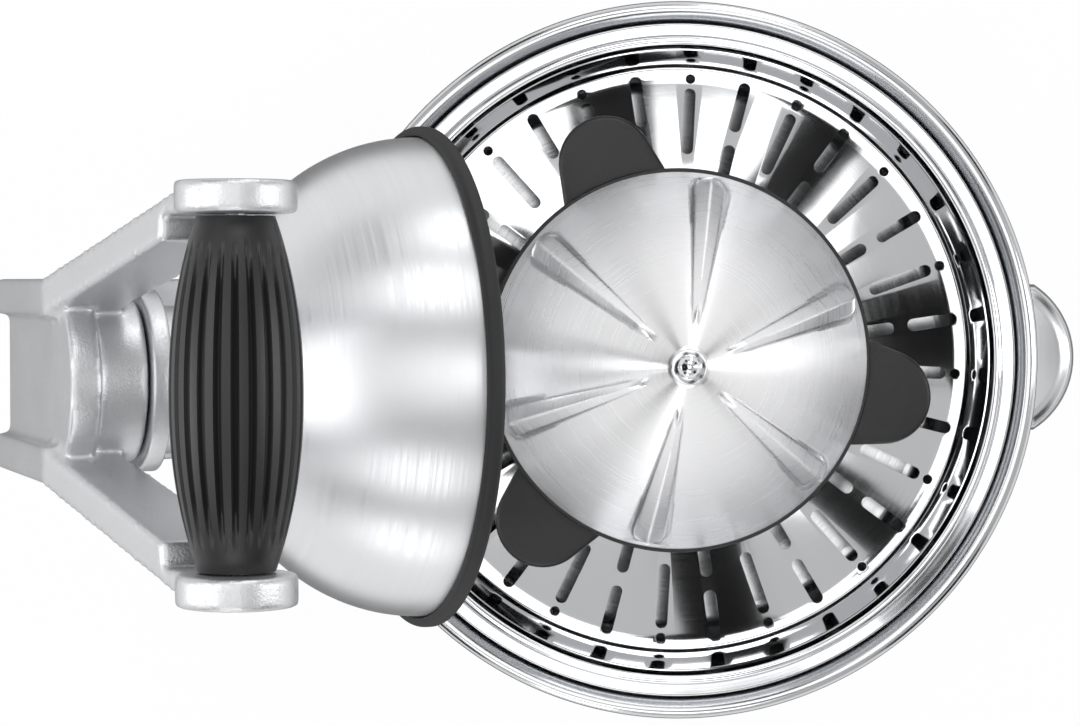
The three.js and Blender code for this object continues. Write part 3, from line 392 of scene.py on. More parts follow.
def add(
    tree: bpy.types.NodeTree, kind: str, settings: dict[str, Any] | None = None, **inputs: Any
) -> bpy.types.Node:
    """Adds a node with its settings and its inputs.

    Args:
        tree: the node tree.
        kind: the node's type.
        settings: its own properties by name.
        **inputs: values or output sockets by input name, with _ for a space, or by number as i0, i1.

    Returns:
        The node.
    """
    node = tree.nodes.new(kind)
    for key, value in (settings or {}).items():
        setattr(node, key, value)
    for key, value in inputs.items():
        numbered = key[0] == "i" and key[1:].isdigit()
        socket = node.inputs[int(key[1:]) if numbered else key.replace("_", " ")]
        if isinstance(value, bpy.types.NodeSocket):
            tree.links.new(value, socket)
        else:
            socket.default_value = value
    return node


def scalar_math(tree: bpy.types.NodeTree, operation: str, **inputs: Any) -> Any:
    """The output socket of a math node."""
    return add(tree, "ShaderNodeMath", {"operation": operation}, **inputs).outputs[0]


def vector_math(tree: bpy.types.NodeTree, operation: str, output: int | str = 0, **inputs: Any) -> Any:
    """An output socket of a vector math node."""
    return add(tree, "ShaderNodeVectorMath", {"operation": operation}, **inputs).outputs[output]


def ramp(tree: bpy.types.NodeTree, value: Any, low: float, high: float) -> Any:
    """Maps a value from 0 to 1 onto another range and returns the output socket."""
    return add(tree, "ShaderNodeMapRange", Value=value, To_Min=low, To_Max=high).outputs[0]


def noise(tree: bpy.types.NodeTree, vector: Any, per_mm: float, detail: float = 2.0) -> Any:
    """Noise with so many features to the millimetre, as an output socket."""
    node = add(tree, "ShaderNodeTexNoise", Vector=vector, Scale=per_mm / MM, Detail=detail)
    return node.outputs[0]


@dataclass(frozen=True)
class Finish:
    """What every finish has: a name and a colour."""

    name: str
    colour: str

    def material(self) -> bpy.types.Material:
        """The finish as a material, made once.

        Returns:
            The material.
        """
        known = bpy.data.materials.get(self.name)
        if known:
            return known
        made = bpy.data.materials.new(self.name)
        made.use_nodes = True
        made.node_tree.nodes.clear()
        add(made.node_tree, "ShaderNodeOutputMaterial", Surface=self.surface(made.node_tree))
        return made

    def surface(self, tree: bpy.types.NodeTree) -> bpy.types.NodeSocket:
        """Adds the finish's nodes to the tree and returns its shader."""
        raise NotImplementedError


@dataclass(frozen=True)
class Felt(Finish):
    """Plain felt, which throws light back evenly."""

    def surface(self, tree: bpy.types.NodeTree) -> bpy.types.NodeSocket:
        """One diffuse shader."""
        return add(tree, "ShaderNodeBsdfDiffuse", Color=linear(self.colour)).outputs[0]


@dataclass(frozen=True)
class Paper(Felt):
    """Paper that takes light like felt but looks evenly white to the camera and in reflections."""

    evenness: float = 0.95

    def surface(self, tree: bpy.types.NodeTree) -> bpy.types.NodeSocket:
        """A diffuse sheet that glows for camera, glossy and transmission rays.

        Args:
            tree: the material's nodes.

        Returns:
            The mixed shader.
        """
        sheet = super().surface(tree)
        glow = add(tree, "ShaderNodeEmission", Strength=1.0).outputs[0]
        path = add(tree, "ShaderNodeLightPath").outputs
        seen = scalar_math(tree, "MAXIMUM", i0=path["Is Camera Ray"], i1=path["Is Glossy Ray"])
        seen = scalar_math(tree, "MAXIMUM", i0=seen, i1=path["Is Transmission Ray"])
        share = scalar_math(tree, "MULTIPLY", i0=seen, i1=self.evenness)
        return add(tree, "ShaderNodeMixShader", Fac=share, i1=sheet, i2=glow).outputs[0]


@dataclass(frozen=True)
class Principled(Finish):
    """A finish on the object itself, made with one principled shader."""

    roughness: float

    def surface(self, tree: bpy.types.NodeTree) -> bpy.types.NodeSocket:
        """The principled shader with the finish's own detail on it.

        Args:
            tree: the material's nodes.

        Returns:
            The principled shader.
        """
        shader = add(tree, "ShaderNodeBsdfPrincipled", Base_Color=linear(self.colour),
                     Roughness=self.roughness)
        self.detail(tree, shader)
        return shader.outputs[0]

    def detail(self, tree: bpy.types.NodeTree, shader: bpy.types.Node) -> None:
        """Adds the finish's own nodes to the tree."""
        raise NotImplementedError


@dataclass(frozen=True)
class TurnedSteel(Principled):
    """Stainless steel brushed or polished on a lathe, whose fine rings pull lights into streaks."""

    centre: tuple[float, float, float] = (0, 0, 0)
    axis: tuple[float, float, float] = (0, 0, 1)
    line_mm: float = 0.22
    line_depth: float = 0.1
    spread: float = 0.1
    anisotropic: float = 0.7
    wave_mm: float = 0.0
    break_up_mm: float = 0.6

    def detail(self, tree: bpy.types.NodeTree, shader: bpy.types.Node) -> None:
        """Rings from the distance along and away from the axis, broken up along their length.

        Args:
            tree: the material's nodes.
            shader: the principled shader.
        """
        shader.inputs["Metallic"].default_value = 1.0
        shader.inputs["Anisotropic"].default_value = self.anisotropic
        place = add(tree, "ShaderNodeTexCoord").outputs["Object"]
        arm = vector_math(tree, "SUBTRACT", i0=place, i1=self.centre)
        side = vector_math(tree, "CROSS_PRODUCT", i0=self.axis, i1=arm)
        out = vector_math(tree, "CROSS_PRODUCT", i0=side, i1=self.axis)
        away = vector_math(tree, "LENGTH", "Value", i0=out)
        along = vector_math(tree, "DOT_PRODUCT", "Value", i0=arm, i1=self.axis)
        ring = scalar_math(tree, "SUBTRACT", i0=along, i1=away)
        heading = vector_math(tree, "NORMALIZE", i0=out)
        stretched = vector_math(tree, "SCALE", i0=heading, Scale=self.break_up_mm * MM)
        parts = add(tree, "ShaderNodeSeparateXYZ", Vector=stretched)
        rings = add(tree, "ShaderNodeCombineXYZ", X=ring, Y=parts.outputs[1], Z=parts.outputs[2]).outputs[0]
        lines = noise(tree, rings, 1 / self.line_mm, 3.0)
        rough = ramp(tree, lines, self.roughness - self.spread / 2, self.roughness + self.spread / 2)
        tree.links.new(rough, shader.inputs["Roughness"])
        if self.anisotropic:
            turn = {"vector_type": "VECTOR", "convert_from": "OBJECT", "convert_to": "WORLD"}
            world = add(tree, "ShaderNodeVectorTransform", turn, Vector=heading)
            tree.links.new(world.outputs[0], shader.inputs["Tangent"])
        bump = add(tree, "ShaderNodeBump", Strength=self.line_depth, Distance=0.02 * MM,
                   Height=lines).outputs[0]
        if self.wave_mm:
            waves = noise(tree, place, 1 / self.wave_mm, 1.0)
            bump = add(tree, "ShaderNodeBump", Strength=0.12, Distance=0.35 * MM, Height=waves,
                       Normal=bump).outputs[0]
        tree.links.new(bump, shader.inputs["Normal"])


@dataclass(frozen=True)
class Grained(Principled):
    """A surface whose detail is grain: blasted castings, plastic, rubber, sintered or plain metal."""

    metallic: float = 0.0
    grain_mm: float = 0.5
    grain_depth: float = 0.3
    mottle: float = 0.06
    spread: float = 0.1
    sheen: float = 0.0

    def detail(self, tree: bpy.types.NodeTree, shader: bpy.types.Node) -> None:
        """Grain in the bump and roughness, and a faint mottle in the colour.

        Args:
            tree: the material's nodes.
            shader: the principled shader.
        """
        shader.inputs["Metallic"].default_value = self.metallic
        shader.inputs["Sheen Weight"].default_value = self.sheen
        place = add(tree, "ShaderNodeTexCoord").outputs["Object"]
        grain = noise(tree, place, 1 / self.grain_mm, 3.0)
        patches = noise(tree, place, 1 / 14, 3.0)
        both = scalar_math(tree, "MULTIPLY_ADD", i0=grain, i1=0.7)
        tree.links.new(ramp(tree, patches, 0.0, 0.3), both.node.inputs[2])
        rough = ramp(tree, both, self.roughness - self.spread, self.roughness + self.spread)
        tree.links.new(rough, shader.inputs["Roughness"])
        dim, bright = (
            (*(channel * level for channel in linear(self.colour)[:3]), 1)
            for level in (1 - self.mottle, 1 + self.mottle)
        )
        colour = add(tree, "ShaderNodeMix", {"data_type": "RGBA"}, i0=both, i6=dim, i7=bright)
        tree.links.new(colour.outputs[2], shader.inputs["Base Color"])
        bump = add(tree, "ShaderNodeBump", Strength=self.grain_depth, Distance=0.12 * MM, Height=grain)
        tree.links.new(bump.outputs[0], shader.inputs["Normal"])


# Blasted die-cast aluminium: pale, satin, with a grain as fine as sand.
CAST = Grained("blasted_cast_aluminium", "#CDCED0", 0.42, metallic=1.0, grain_mm=0.45, grain_depth=0.55,
               mottle=0.1)
# Moulded ABS with a fine spark-eroded grain: nearly black, a soft wide shine.
ABS = Grained("grained_black_abs", "#121213", 0.38, grain_mm=0.6, grain_depth=0.7, spread=0.08)
# Soft-touch overmould: black, dull, with a faint pale bloom at grazing angles.
SOFT_TOUCH = Grained("soft_touch_elastomer", "#0F0F10", 0.4, grain_mm=0.35, grain_depth=0.2, sheen=0.04)
# Moulded rubber: matt black.
RUBBER = Grained("moulded_black_rubber", "#101011", 0.6, grain_mm=0.6, grain_depth=0.25)
# Machined and zinc-plated mild steel: grey with a dull shine.
PLAIN_STEEL = Grained("plated_mild_steel", "#A9ACAF", 0.32, metallic=1.0, grain_mm=0.8, grain_depth=0.15)
# Sintered bronze: brown gold, porous.
BRONZE = Grained("sintered_bronze", "#A98248", 0.4, metallic=1.0, grain_mm=0.3, grain_depth=0.4)
# Natural nylon: warm white, waxy.
NYLON = Grained("natural_nylon", "#E2DED2", 0.45, grain_mm=1.2, grain_depth=0.1)
# The studio: white paper underfoot, black felt on the flags and grey felt round the press.
WHITE_PAPER = Paper("white_paper", "#E6E6E6")
BLACK_FELT = Felt("black_felt", "#101010")
GREY_FELT = Felt("grey_felt", "#6A6A6A")


# ---------------------------------------------------------------- where everything is


@dataclass(frozen=True)
class Layout:
    """Places read from the frame, in millimetres."""

    axis_x: float
    rim: float
    deck_low: float
    deck_high: float
    pivot: tuple[float, float, float]
    open_angle: float = 70.2

    @classmethod
    def read(cls) -> "Layout":
        """Reads the frame's boxes and the arm's joint.

        Returns:
            The layout.
        """
        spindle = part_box("spindle")
        joint = next(j for j in frame["joints"] if j["name"] == "arm_lift")
        pivot = tuple(value / MM for value in joint["pos_m"])
        return cls(
            axis_x=(spindle[0][0] + spindle[1][0]) / 2 / MM,
            rim=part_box("bowl")[1][2] / MM,
            deck_low=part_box("housing_shell")[1][2] / MM,
            deck_high=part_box("top_deck")[1][2] / MM,
            pivot=pivot,
        )

    def from_rim(self) -> Matrix:
        """Moves a piece drawn about the cone's axis and the rim's level to its place."""
        return shifted(self.axis_x, 0, self.rim)

    def from_table(self) -> Matrix:
        """Moves a piece drawn about the cone's axis and the table to its place."""
        return shifted(self.axis_x)

    def from_pivot(self) -> Matrix:
        """Raises a piece of the arm, drawn closed about its pivot, to its place."""
        return shifted(*self.pivot) @ Matrix.Rotation(-math.radians(self.open_angle), 4, "Y")

    def centre(self, height: float) -> tuple[float, float, float]:
        """A point on the cone's axis, in metres."""
        return self.axis_x * MM, 0, height * MM

    def arm_axis(self) -> tuple[float, float, float]:
        """The dome's axis with the arm raised."""
        return tuple(Matrix.Rotation(-math.radians(self.open_angle), 3, "Y") @ Vector((0, 0, 1)))


class Slot(Enum):
    """The record's material slots named for the remodelled pieces, which are passed along but not given to
    them.
    """

    POLISHED = "polished_steel"
    BRUSHED = "brushed_steel"
    PLAIN = "plain_steel"
    CAST = "cast_aluminium"
    PLASTIC = "black_plastic"
    RUBBER = "black_rubber"
    GRIP = "soft_grip"


@dataclass
class Assembly:
    """What every sub-assembly has: the layout and a way to hand in a finished piece."""

    at: Layout

    def hand_in(
        self, obj: bpy.types.Object, name: str, body: str, slot: Slot, finish: Finish, *nodes: str
    ) -> bpy.types.Object:
        """Names and dresses a finished piece, puts it on its body and hides the CAD nodes that it stands for.

        Args:
            obj: the piece, in its place.
            name: its name.
            body: the body that it rides on.
            slot: the record's material slot; not used.
            finish: its finish.
            *nodes: the CAD nodes that it stands for.

        Returns:
            The piece.
        """
        obj.name = name
        obj.data.name = name
        obj.data.materials.clear()
        obj.data.materials.append(finish.material())
        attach(obj, body)
        if nodes:
            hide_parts(*nodes)
        log.info("%s: %d faces", name, len(obj.data.polygons))
        return obj

    def dress(self, finish: Finish, *nodes: str) -> None:
        """Gives a finish to CAD nodes that stay.

        Args:
            finish: the finish.
            *nodes: the CAD nodes.
        """
        for node in nodes:
            mesh = frame["nodes"][node].data
            mesh.materials.clear()
            mesh.materials.append(finish.material())


# ---------------------------------------------------------------- bowl, sieve, spout


@dataclass
class Bowl(Assembly):
    """The bowl with its rolled rim, the sieve that hangs in it and the spout hood."""

    rim_radius: float = 90.0
    lip: float = 2.2
    ledge: float = -4.6
    ledge_outer: float = 84.6
    ledge_inner: float = 81.6
    wall: float = 1.5
    floor_radius: float = 70.0
    bottom: float = -57.0
    tube: float = 8.0
    tube_top: float = -14.6
    steps: int = 192
    repeats: int = 16
    slot_width: float = 3.1
    slot_phase: float = -3.0
    dish_radius: float = 74.6
    dish_edge: float = -20.1
    dish_middle: float = -15.6
    sieve_wall: float = 0.9
    edge_slots: tuple[float, float] = (52.5, 69.5)
    outer_slots: tuple[float, float] = (60.0, 73.0)
    inner_slots: tuple[float, float] = (44.0, 56.5)
    drain: float = 1.25
    drain_at: float = 71.9
    nozzle_rear: float = 76.5
    nozzle_front: float = 92.0
    nozzle_half: float = 15.7
    nozzle_low: float = 1.5
    nozzle_high: float = 16.5
    nozzle_wall: float = 1.6
    spout_rear: float = 84.6
    spout_tip: float = 106.0
    spout_nose: float = 22.8
    spout_half: float = 19.2
    spout_top: float = 21.7
    spout_height: float = 25.0
    spout_wall: float = 1.4
    spout_round: float = 5.0
    spout_pin: tuple[float, float, float] = (88.5, 13.0, 1.9)

    def polished(self) -> TurnedSteel:
        """Mirror-polished spun steel: the rings are barely felt, and the sheet waves a little."""
        return TurnedSteel("polished_spun_steel", "#E4E5E7", 0.07, self.at.centre(0), line_mm=0.5,
                           line_depth=0.05, spread=0.05, anisotropic=0.3, wave_mm=16)

    def rim_steel(self) -> TurnedSteel:
        """The bowl's own steel, whose rim shows fine lathe rings."""
        return TurnedSteel("ringed_spun_steel", "#D2D3D5", 0.16, self.at.centre(0), line_mm=0.7,
                           line_depth=0.7, spread=0.14, anisotropic=0.4)

    def build(self) -> None:
        """Makes the bowl, its nozzle, the sieve and the spout."""
        self.build_bowl()
        self.build_sieve()
        self.build_spout()
        self.dress(PLAIN_STEEL, "spout_pin_left", "spout_pin_right")

    def build_bowl(self) -> None:
        """The spun bowl: rolled lip, sloping band, ledge, wall, floor and the tube round the spindle."""
        floor = self.bottom + self.wall
        roll = self.rim_radius - self.lip
        profile = [
            (self.ledge_inner, self.ledge),
            (self.ledge_inner - 0.5, self.ledge - 2),
            (self.floor_radius + 7, floor + 10),
            *arc(self.floor_radius, floor + 8, 6.6, -15, -90, 5),
            *arc(self.tube + 3, floor + 3, 3, -90, -180, 4),
            *arc(self.tube - 0.8, self.tube_top - 0.8, 0.8, 0, 90, 3),
            (self.tube - 1.7, self.tube_top),
            (self.tube - 1.7, self.bottom),
            *arc(self.floor_radius, floor + 8, 9.4, -90, 0, 6),
            (self.ledge_inner + self.wall, self.ledge - 3),
            (self.ledge_outer + 0.9, self.ledge - 1.6),
            *arc(roll, -self.lip, self.lip, -80, 118, 14),
            (self.ledge_outer + 1.0, self.ledge + 1.4),
            *arc(self.ledge_outer - 0.4, self.ledge + 0.9, 0.9, -20, -90, 3),
        ]
        bowl = turned("bowl_body", profile, self.steps)
        low, high, half, wall = (
            self.bottom + self.nozzle_low, self.bottom + self.nozzle_high, self.nozzle_half, self.nozzle_wall,
        )
        outline = rectangle(self.nozzle_rear, -half, self.nozzle_front, half)
        nozzle = bevelled(plate("nozzle", outline, low, high), 1.0)
        passage = rectangle(60.0, -half + wall, self.nozzle_front + 2, half - wall)
        cutter = plate("passage", passage, low + wall, high - wall)
        combine(bowl, nozzle, Join.UNITE)
        combine(bowl, cutter, Join.CUT)
        placed(smoothed(bowl), self.at.from_rim())
        self.hand_in(bowl, "bowl_body", "bowl", Slot.POLISHED, self.rim_steel(), "bowl")

    def slot_cutter(self, start: float, end: float) -> bpy.types.Object:
        """A round-ended slot cutter along X, from one radius to another.

        Args:
            start: the radius at which the slot starts.
            end: the radius at which it ends.

        Returns:
            The cutter.
        """
        half = self.slot_width / 2
        outline = strap((start + half, 0), half, (end - half, 0), half - 0.01, 8)
        return plate("slot", outline, self.dish_edge - 5, self.dish_middle + 4)

    def build_sieve(self) -> None:
        """The sieve: flange, rounded bead, steep wall and the slotted dish."""
        top = self.ledge + 1.5
        wall_top = self.ledge_inner - 3.1
        thick = self.sieve_wall
        profile = [
            (self.ledge_outer - 0.6, top),
            (self.ledge_inner + 0.1, top),
            *arc(self.ledge_inner - 1.4, top, 1.25, 25, 155, 8),
            *arc(wall_top - 0.2, top - 1.6, 0.5, 90, 170, 2),
            *arc(self.dish_radius - 0.6, self.dish_edge + 1.4, 1.4, -10, -84, 6),
            (self.dish_radius - 4, self.dish_edge + 0.25),
            (46.0, self.dish_middle - 0.4),
            (self.tube + 5.5, self.dish_middle),
            *arc(self.tube + 5.2, self.dish_middle + 0.9, 0.9, -90, -180, 3),
            (self.tube + 3.3, self.dish_middle + 1.0),
            *arc(self.tube + 5.0, self.dish_middle + 0.9, 1.7, 180, 270, 3),
            (46.0, self.dish_middle - 0.4 - thick),
            (self.dish_radius - 4, self.dish_edge + 0.25 - thick),
            *arc(self.dish_radius - 0.6, self.dish_edge + 1.4, 1.4 + thick, -84, -10, 6),
            (wall_top + thick, top - 3.0),
            (self.ledge_inner - 0.5, top - thick),
            (self.ledge_outer - 0.6, top - thick),
        ]
        sieve = turned("sieve_body", profile, self.steps)
        pitch = 360 / self.repeats
        drain = bore(self.drain, self.dish_edge - 5, self.dish_edge + 5, steps=16)
        patterns = [
            (self.slot_cutter(*self.edge_slots), 0.0),
            (placed(drain, shifted(self.drain_at)), 0.0),
            (self.slot_cutter(*self.outer_slots), pitch / 2),
            (self.slot_cutter(*self.inner_slots), pitch / 2),
        ]
        cutters = []
        for cutter, turn in patterns:
            for index in range(self.repeats):
                angle = math.radians(self.slot_phase + turn + pitch * index)
                cutters.append(copied(cutter, Matrix.Rotation(angle, 4, "Z")))
            bpy.data.objects.remove(cutter)
        combine(sieve, merged(cutters), Join.CUT)
        placed(smoothed(sieve), self.at.from_rim())
        self.hand_in(sieve, "sieve_body", "sieve", Slot.POLISHED, self.polished(), "sieve")

    def hood_plan(self, inset: float, rear: float) -> list[Point]:
        """The spout hood's outline in plan, moved in by an amount.

        Args:
            inset: how far the sides and the nose are moved in.
            rear: where the outline starts.

        Returns:
            The outline's points.
        """
        nose, half = self.spout_nose - inset, self.spout_half - inset
        turn = math.degrees(math.asin(half / nose))
        return [(rear, half), (rear, -half), *arc(self.spout_tip - self.spout_nose, 0, nose, -turn, turn, 24)]

    def build_spout(self) -> None:
        """The spout hood: a blunt round nose in plan with a rounded top edge, open below."""
        top = self.bottom + self.spout_top
        low = top - self.spout_height
        wall = self.spout_wall
        hood = bevelled(plate("hood", self.hood_plan(0, self.spout_rear), low, top), self.spout_round, 6, 50)
        hollow = plate("hollow", self.hood_plan(wall, self.spout_rear - 6), low - 1, top - wall)
        combine(hood, hollow, Join.CUT)
        pin_x, pin_z, pin_bore = self.spout_pin
        hole = placed(bore(pin_bore, -24, 24, Axis.Y), shifted(pin_x, 0, self.bottom + pin_z))
        combine(hood, hole, Join.CUT)
        placed(smoothed(hood, 40), self.at.from_rim())
        satin = TurnedSteel("satin_pressed_steel", "#E0E1E3", 0.24, self.at.centre(0), line_mm=1.2,
                            line_depth=0.04, spread=0.04, anisotropic=0.0)
        self.hand_in(hood, "spout_hood", "spout", Slot.POLISHED, satin, "spout")


# ---------------------------------------------------------------- reamer cone


@dataclass
class Reamer(Assembly):
    """The ribbed steel cone, its black base with three ears and the tip rivet."""

    base: float = -5.0
    radius: float = 47.5
    height: float = 57.0
    bulge: float = 1.25
    tip: float = 4.5
    rib_count: int = 6
    rib_phase: float = 20.0
    rib_height: float = 3.4
    rib_start: float = 10.0
    rib_end: float = 46.0
    rib_half: float = 5.0
    rib_round: float = 0.9
    rib_narrow: float = 0.12
    rib_end_width: float = 0.35
    rib_flank: float = 0.22
    rib_shoulder: float = 0.35
    rib_low: float = 0.3
    rib_outward: float = 0.75
    rib_upward: float = 0.66
    ear_phase: float = -10.0
    ear_reach: float = 65.0
    ear_radius: float = 12.0
    ear_root: float = 40.0
    pocket: float = 46.2
    hub: float = 8.0
    hex_bore: float = 5.4
    hub_top: float = 38.0

    def build(self) -> None:
        """Makes the cone, its base and the rivet."""
        self.build_shell()
        self.build_base()
        self.build_rivet()

    def level(self, radius: float) -> float:
        """The cone's height at a radius."""
        return self.base + self.height * (1 - (radius / self.radius) ** self.bulge)

    def rib(self, radius: float, angle: float) -> float:
        """How far the pressed ribs raise the cone at a place.

        Args:
            radius: the distance from the axis.
            angle: the heading in radians.

        Returns:
            The rise in millimetres.
        """
        pitch = TAU / self.rib_count
        phase = math.radians(self.rib_phase)
        off = (angle - phase + pitch / 2) % pitch - pitch / 2
        across = abs(radius * math.sin(off))
        along = (radius - self.rib_start) / (self.rib_end - self.rib_start)
        if not 0 < along < 1:
            return 0.0
        half = self.rib_half * (self.rib_narrow + (1 - self.rib_narrow) * along ** 0.75)
        past = max(0.0, (along - self.rib_round) / (1 - self.rib_round))
        outer_end = math.sqrt(1 - past ** 2)
        half *= self.rib_end_width + (1 - self.rib_end_width) * outer_end
        if across >= half:
            return 0.0
        share = across / half
        flank = min(1.0, (1 - share) / self.rib_flank)
        slope = self.rib_shoulder * flank * (2 - flank) + (1 - self.rib_shoulder) * (1 - share)
        crest = self.rib_height * (self.rib_low + (1 - self.rib_low) * along ** 0.6)
        return crest * slope * min(1.0, along / 0.1) * outer_end

    def build_shell(self) -> None:
        """The cone: a spun skin, dense outside, whose ribs are pressed out of it."""
        rings = 66
        radii = [self.radius + (self.tip - self.radius) * i / rings for i in range(rings + 1)]
        outside = [(r, self.level(r)) for r in radii]
        inside = [(r - 1.2, self.level(r) - 1.3) for r in radii[::11]]
        lip = [(self.radius - 1.4, self.base), (self.radius - 0.2, self.base)]
        top = self.level(self.tip)
        shell = turned("cone", [*outside, (1.9, top), (1.9, top - 1.3), *inside[-2:0:-1], *lip], 432)

        def press(place: Vector) -> Vector:
            """Raises a point of the outer skin by the ribs.

            Args:
                place: the point, in millimetres.

            Returns:
                The raised point, or the same one away from the ribs.
            """
            radius = math.hypot(place.x, place.y)
            if abs(place.z - self.level(radius)) > 0.02 or radius > self.radius - 0.1:
                return place
            rise = self.rib(radius, math.atan2(place.y, place.x))
            out = self.rib_outward / radius
            return place + Vector((place.x * out, place.y * out, self.rib_upward)) * rise

        reshape(shell, press)
        placed(smoothed(shell, 60), self.at.from_rim())
        self.hand_in(shell, "cone_skin", "cone", Slot.BRUSHED, self.cone_steel(), "cone_shell")

    def cone_steel(self) -> TurnedSteel:
        """The cone's steel, brushed round its axis, so that each light draws a wedge from tip to edge."""
        return TurnedSteel("brushed_cone_steel", "#F6F6F7", 0.3, self.at.centre(0), line_mm=0.6,
                           line_depth=0.7, spread=0.2, anisotropic=0.8)

    def build_base(self) -> None:
        """The black base: a ring under the cone with three rounded ears."""
        low, top = self.base - 6.5, self.base - 0.3
        floor, wall = low + 2.4, self.pocket + 2.3
        ring = turned("base_ring", [
            (self.pocket, floor), (self.pocket, top), (wall - 0.3, top), (wall, top - 0.4), (wall, low + 0.4),
            (wall - 0.4, low), (self.hex_bore, low), (self.hex_bore, self.hub_top), (self.hub, self.hub_top),
            (self.hub, floor),
        ], 144)
        pieces = [ring]
        for index in range(3):
            end = (self.ear_reach - self.ear_radius, 0)
            outline = strap((self.ear_root, 0), self.ear_radius + 2.6, end, self.ear_radius, 20)
            ear = bevelled(plate("ear", outline, low + 0.2, low + 3.6), 1.1, 4)
            turn = math.radians(self.ear_phase + 120 * index)
            pieces.append(placed(ear, Matrix.Rotation(turn, 4, "Z")))
        hollow = turned("hollow", rectangle(self.hub, floor, self.pocket, self.base + 4), 144)
        for ear in pieces[1:]:
            combine(ring, ear, Join.UNITE)
        combine(ring, hollow, Join.CUT)
        placed(smoothed(ring), self.at.from_rim())
        self.hand_in(ring, "cone_base_body", "cone", Slot.PLASTIC, ABS, "cone_base")

    def build_rivet(self) -> None:
        """The rivet: a thin round washer with a domed head on it."""
        foot = self.level(self.tip) + 0.3
        profile = [
            (0, foot - 7), (1.5, foot - 7), (1.5, foot), (4.1, foot), (4.3, foot + 0.3), (4.0, foot + 0.8),
            (2.9, foot + 0.9), (2.7, foot + 1.0), *arc(0, foot - 0.2, 2.95, 25, 90, 8),
        ]
        rivet = turned("rivet", profile, 64, closed=False)
        placed(smoothed(rivet, 40), self.at.from_rim())
        steel = TurnedSteel("polished_rivet_steel", "#E2E3E5", 0.14, self.at.centre(0), anisotropic=0.0)
        self.hand_in(rivet, "cone_tip", "cone", Slot.POLISHED, steel, "cone_rivet")


# ---------------------------------------------------------------- lever arm


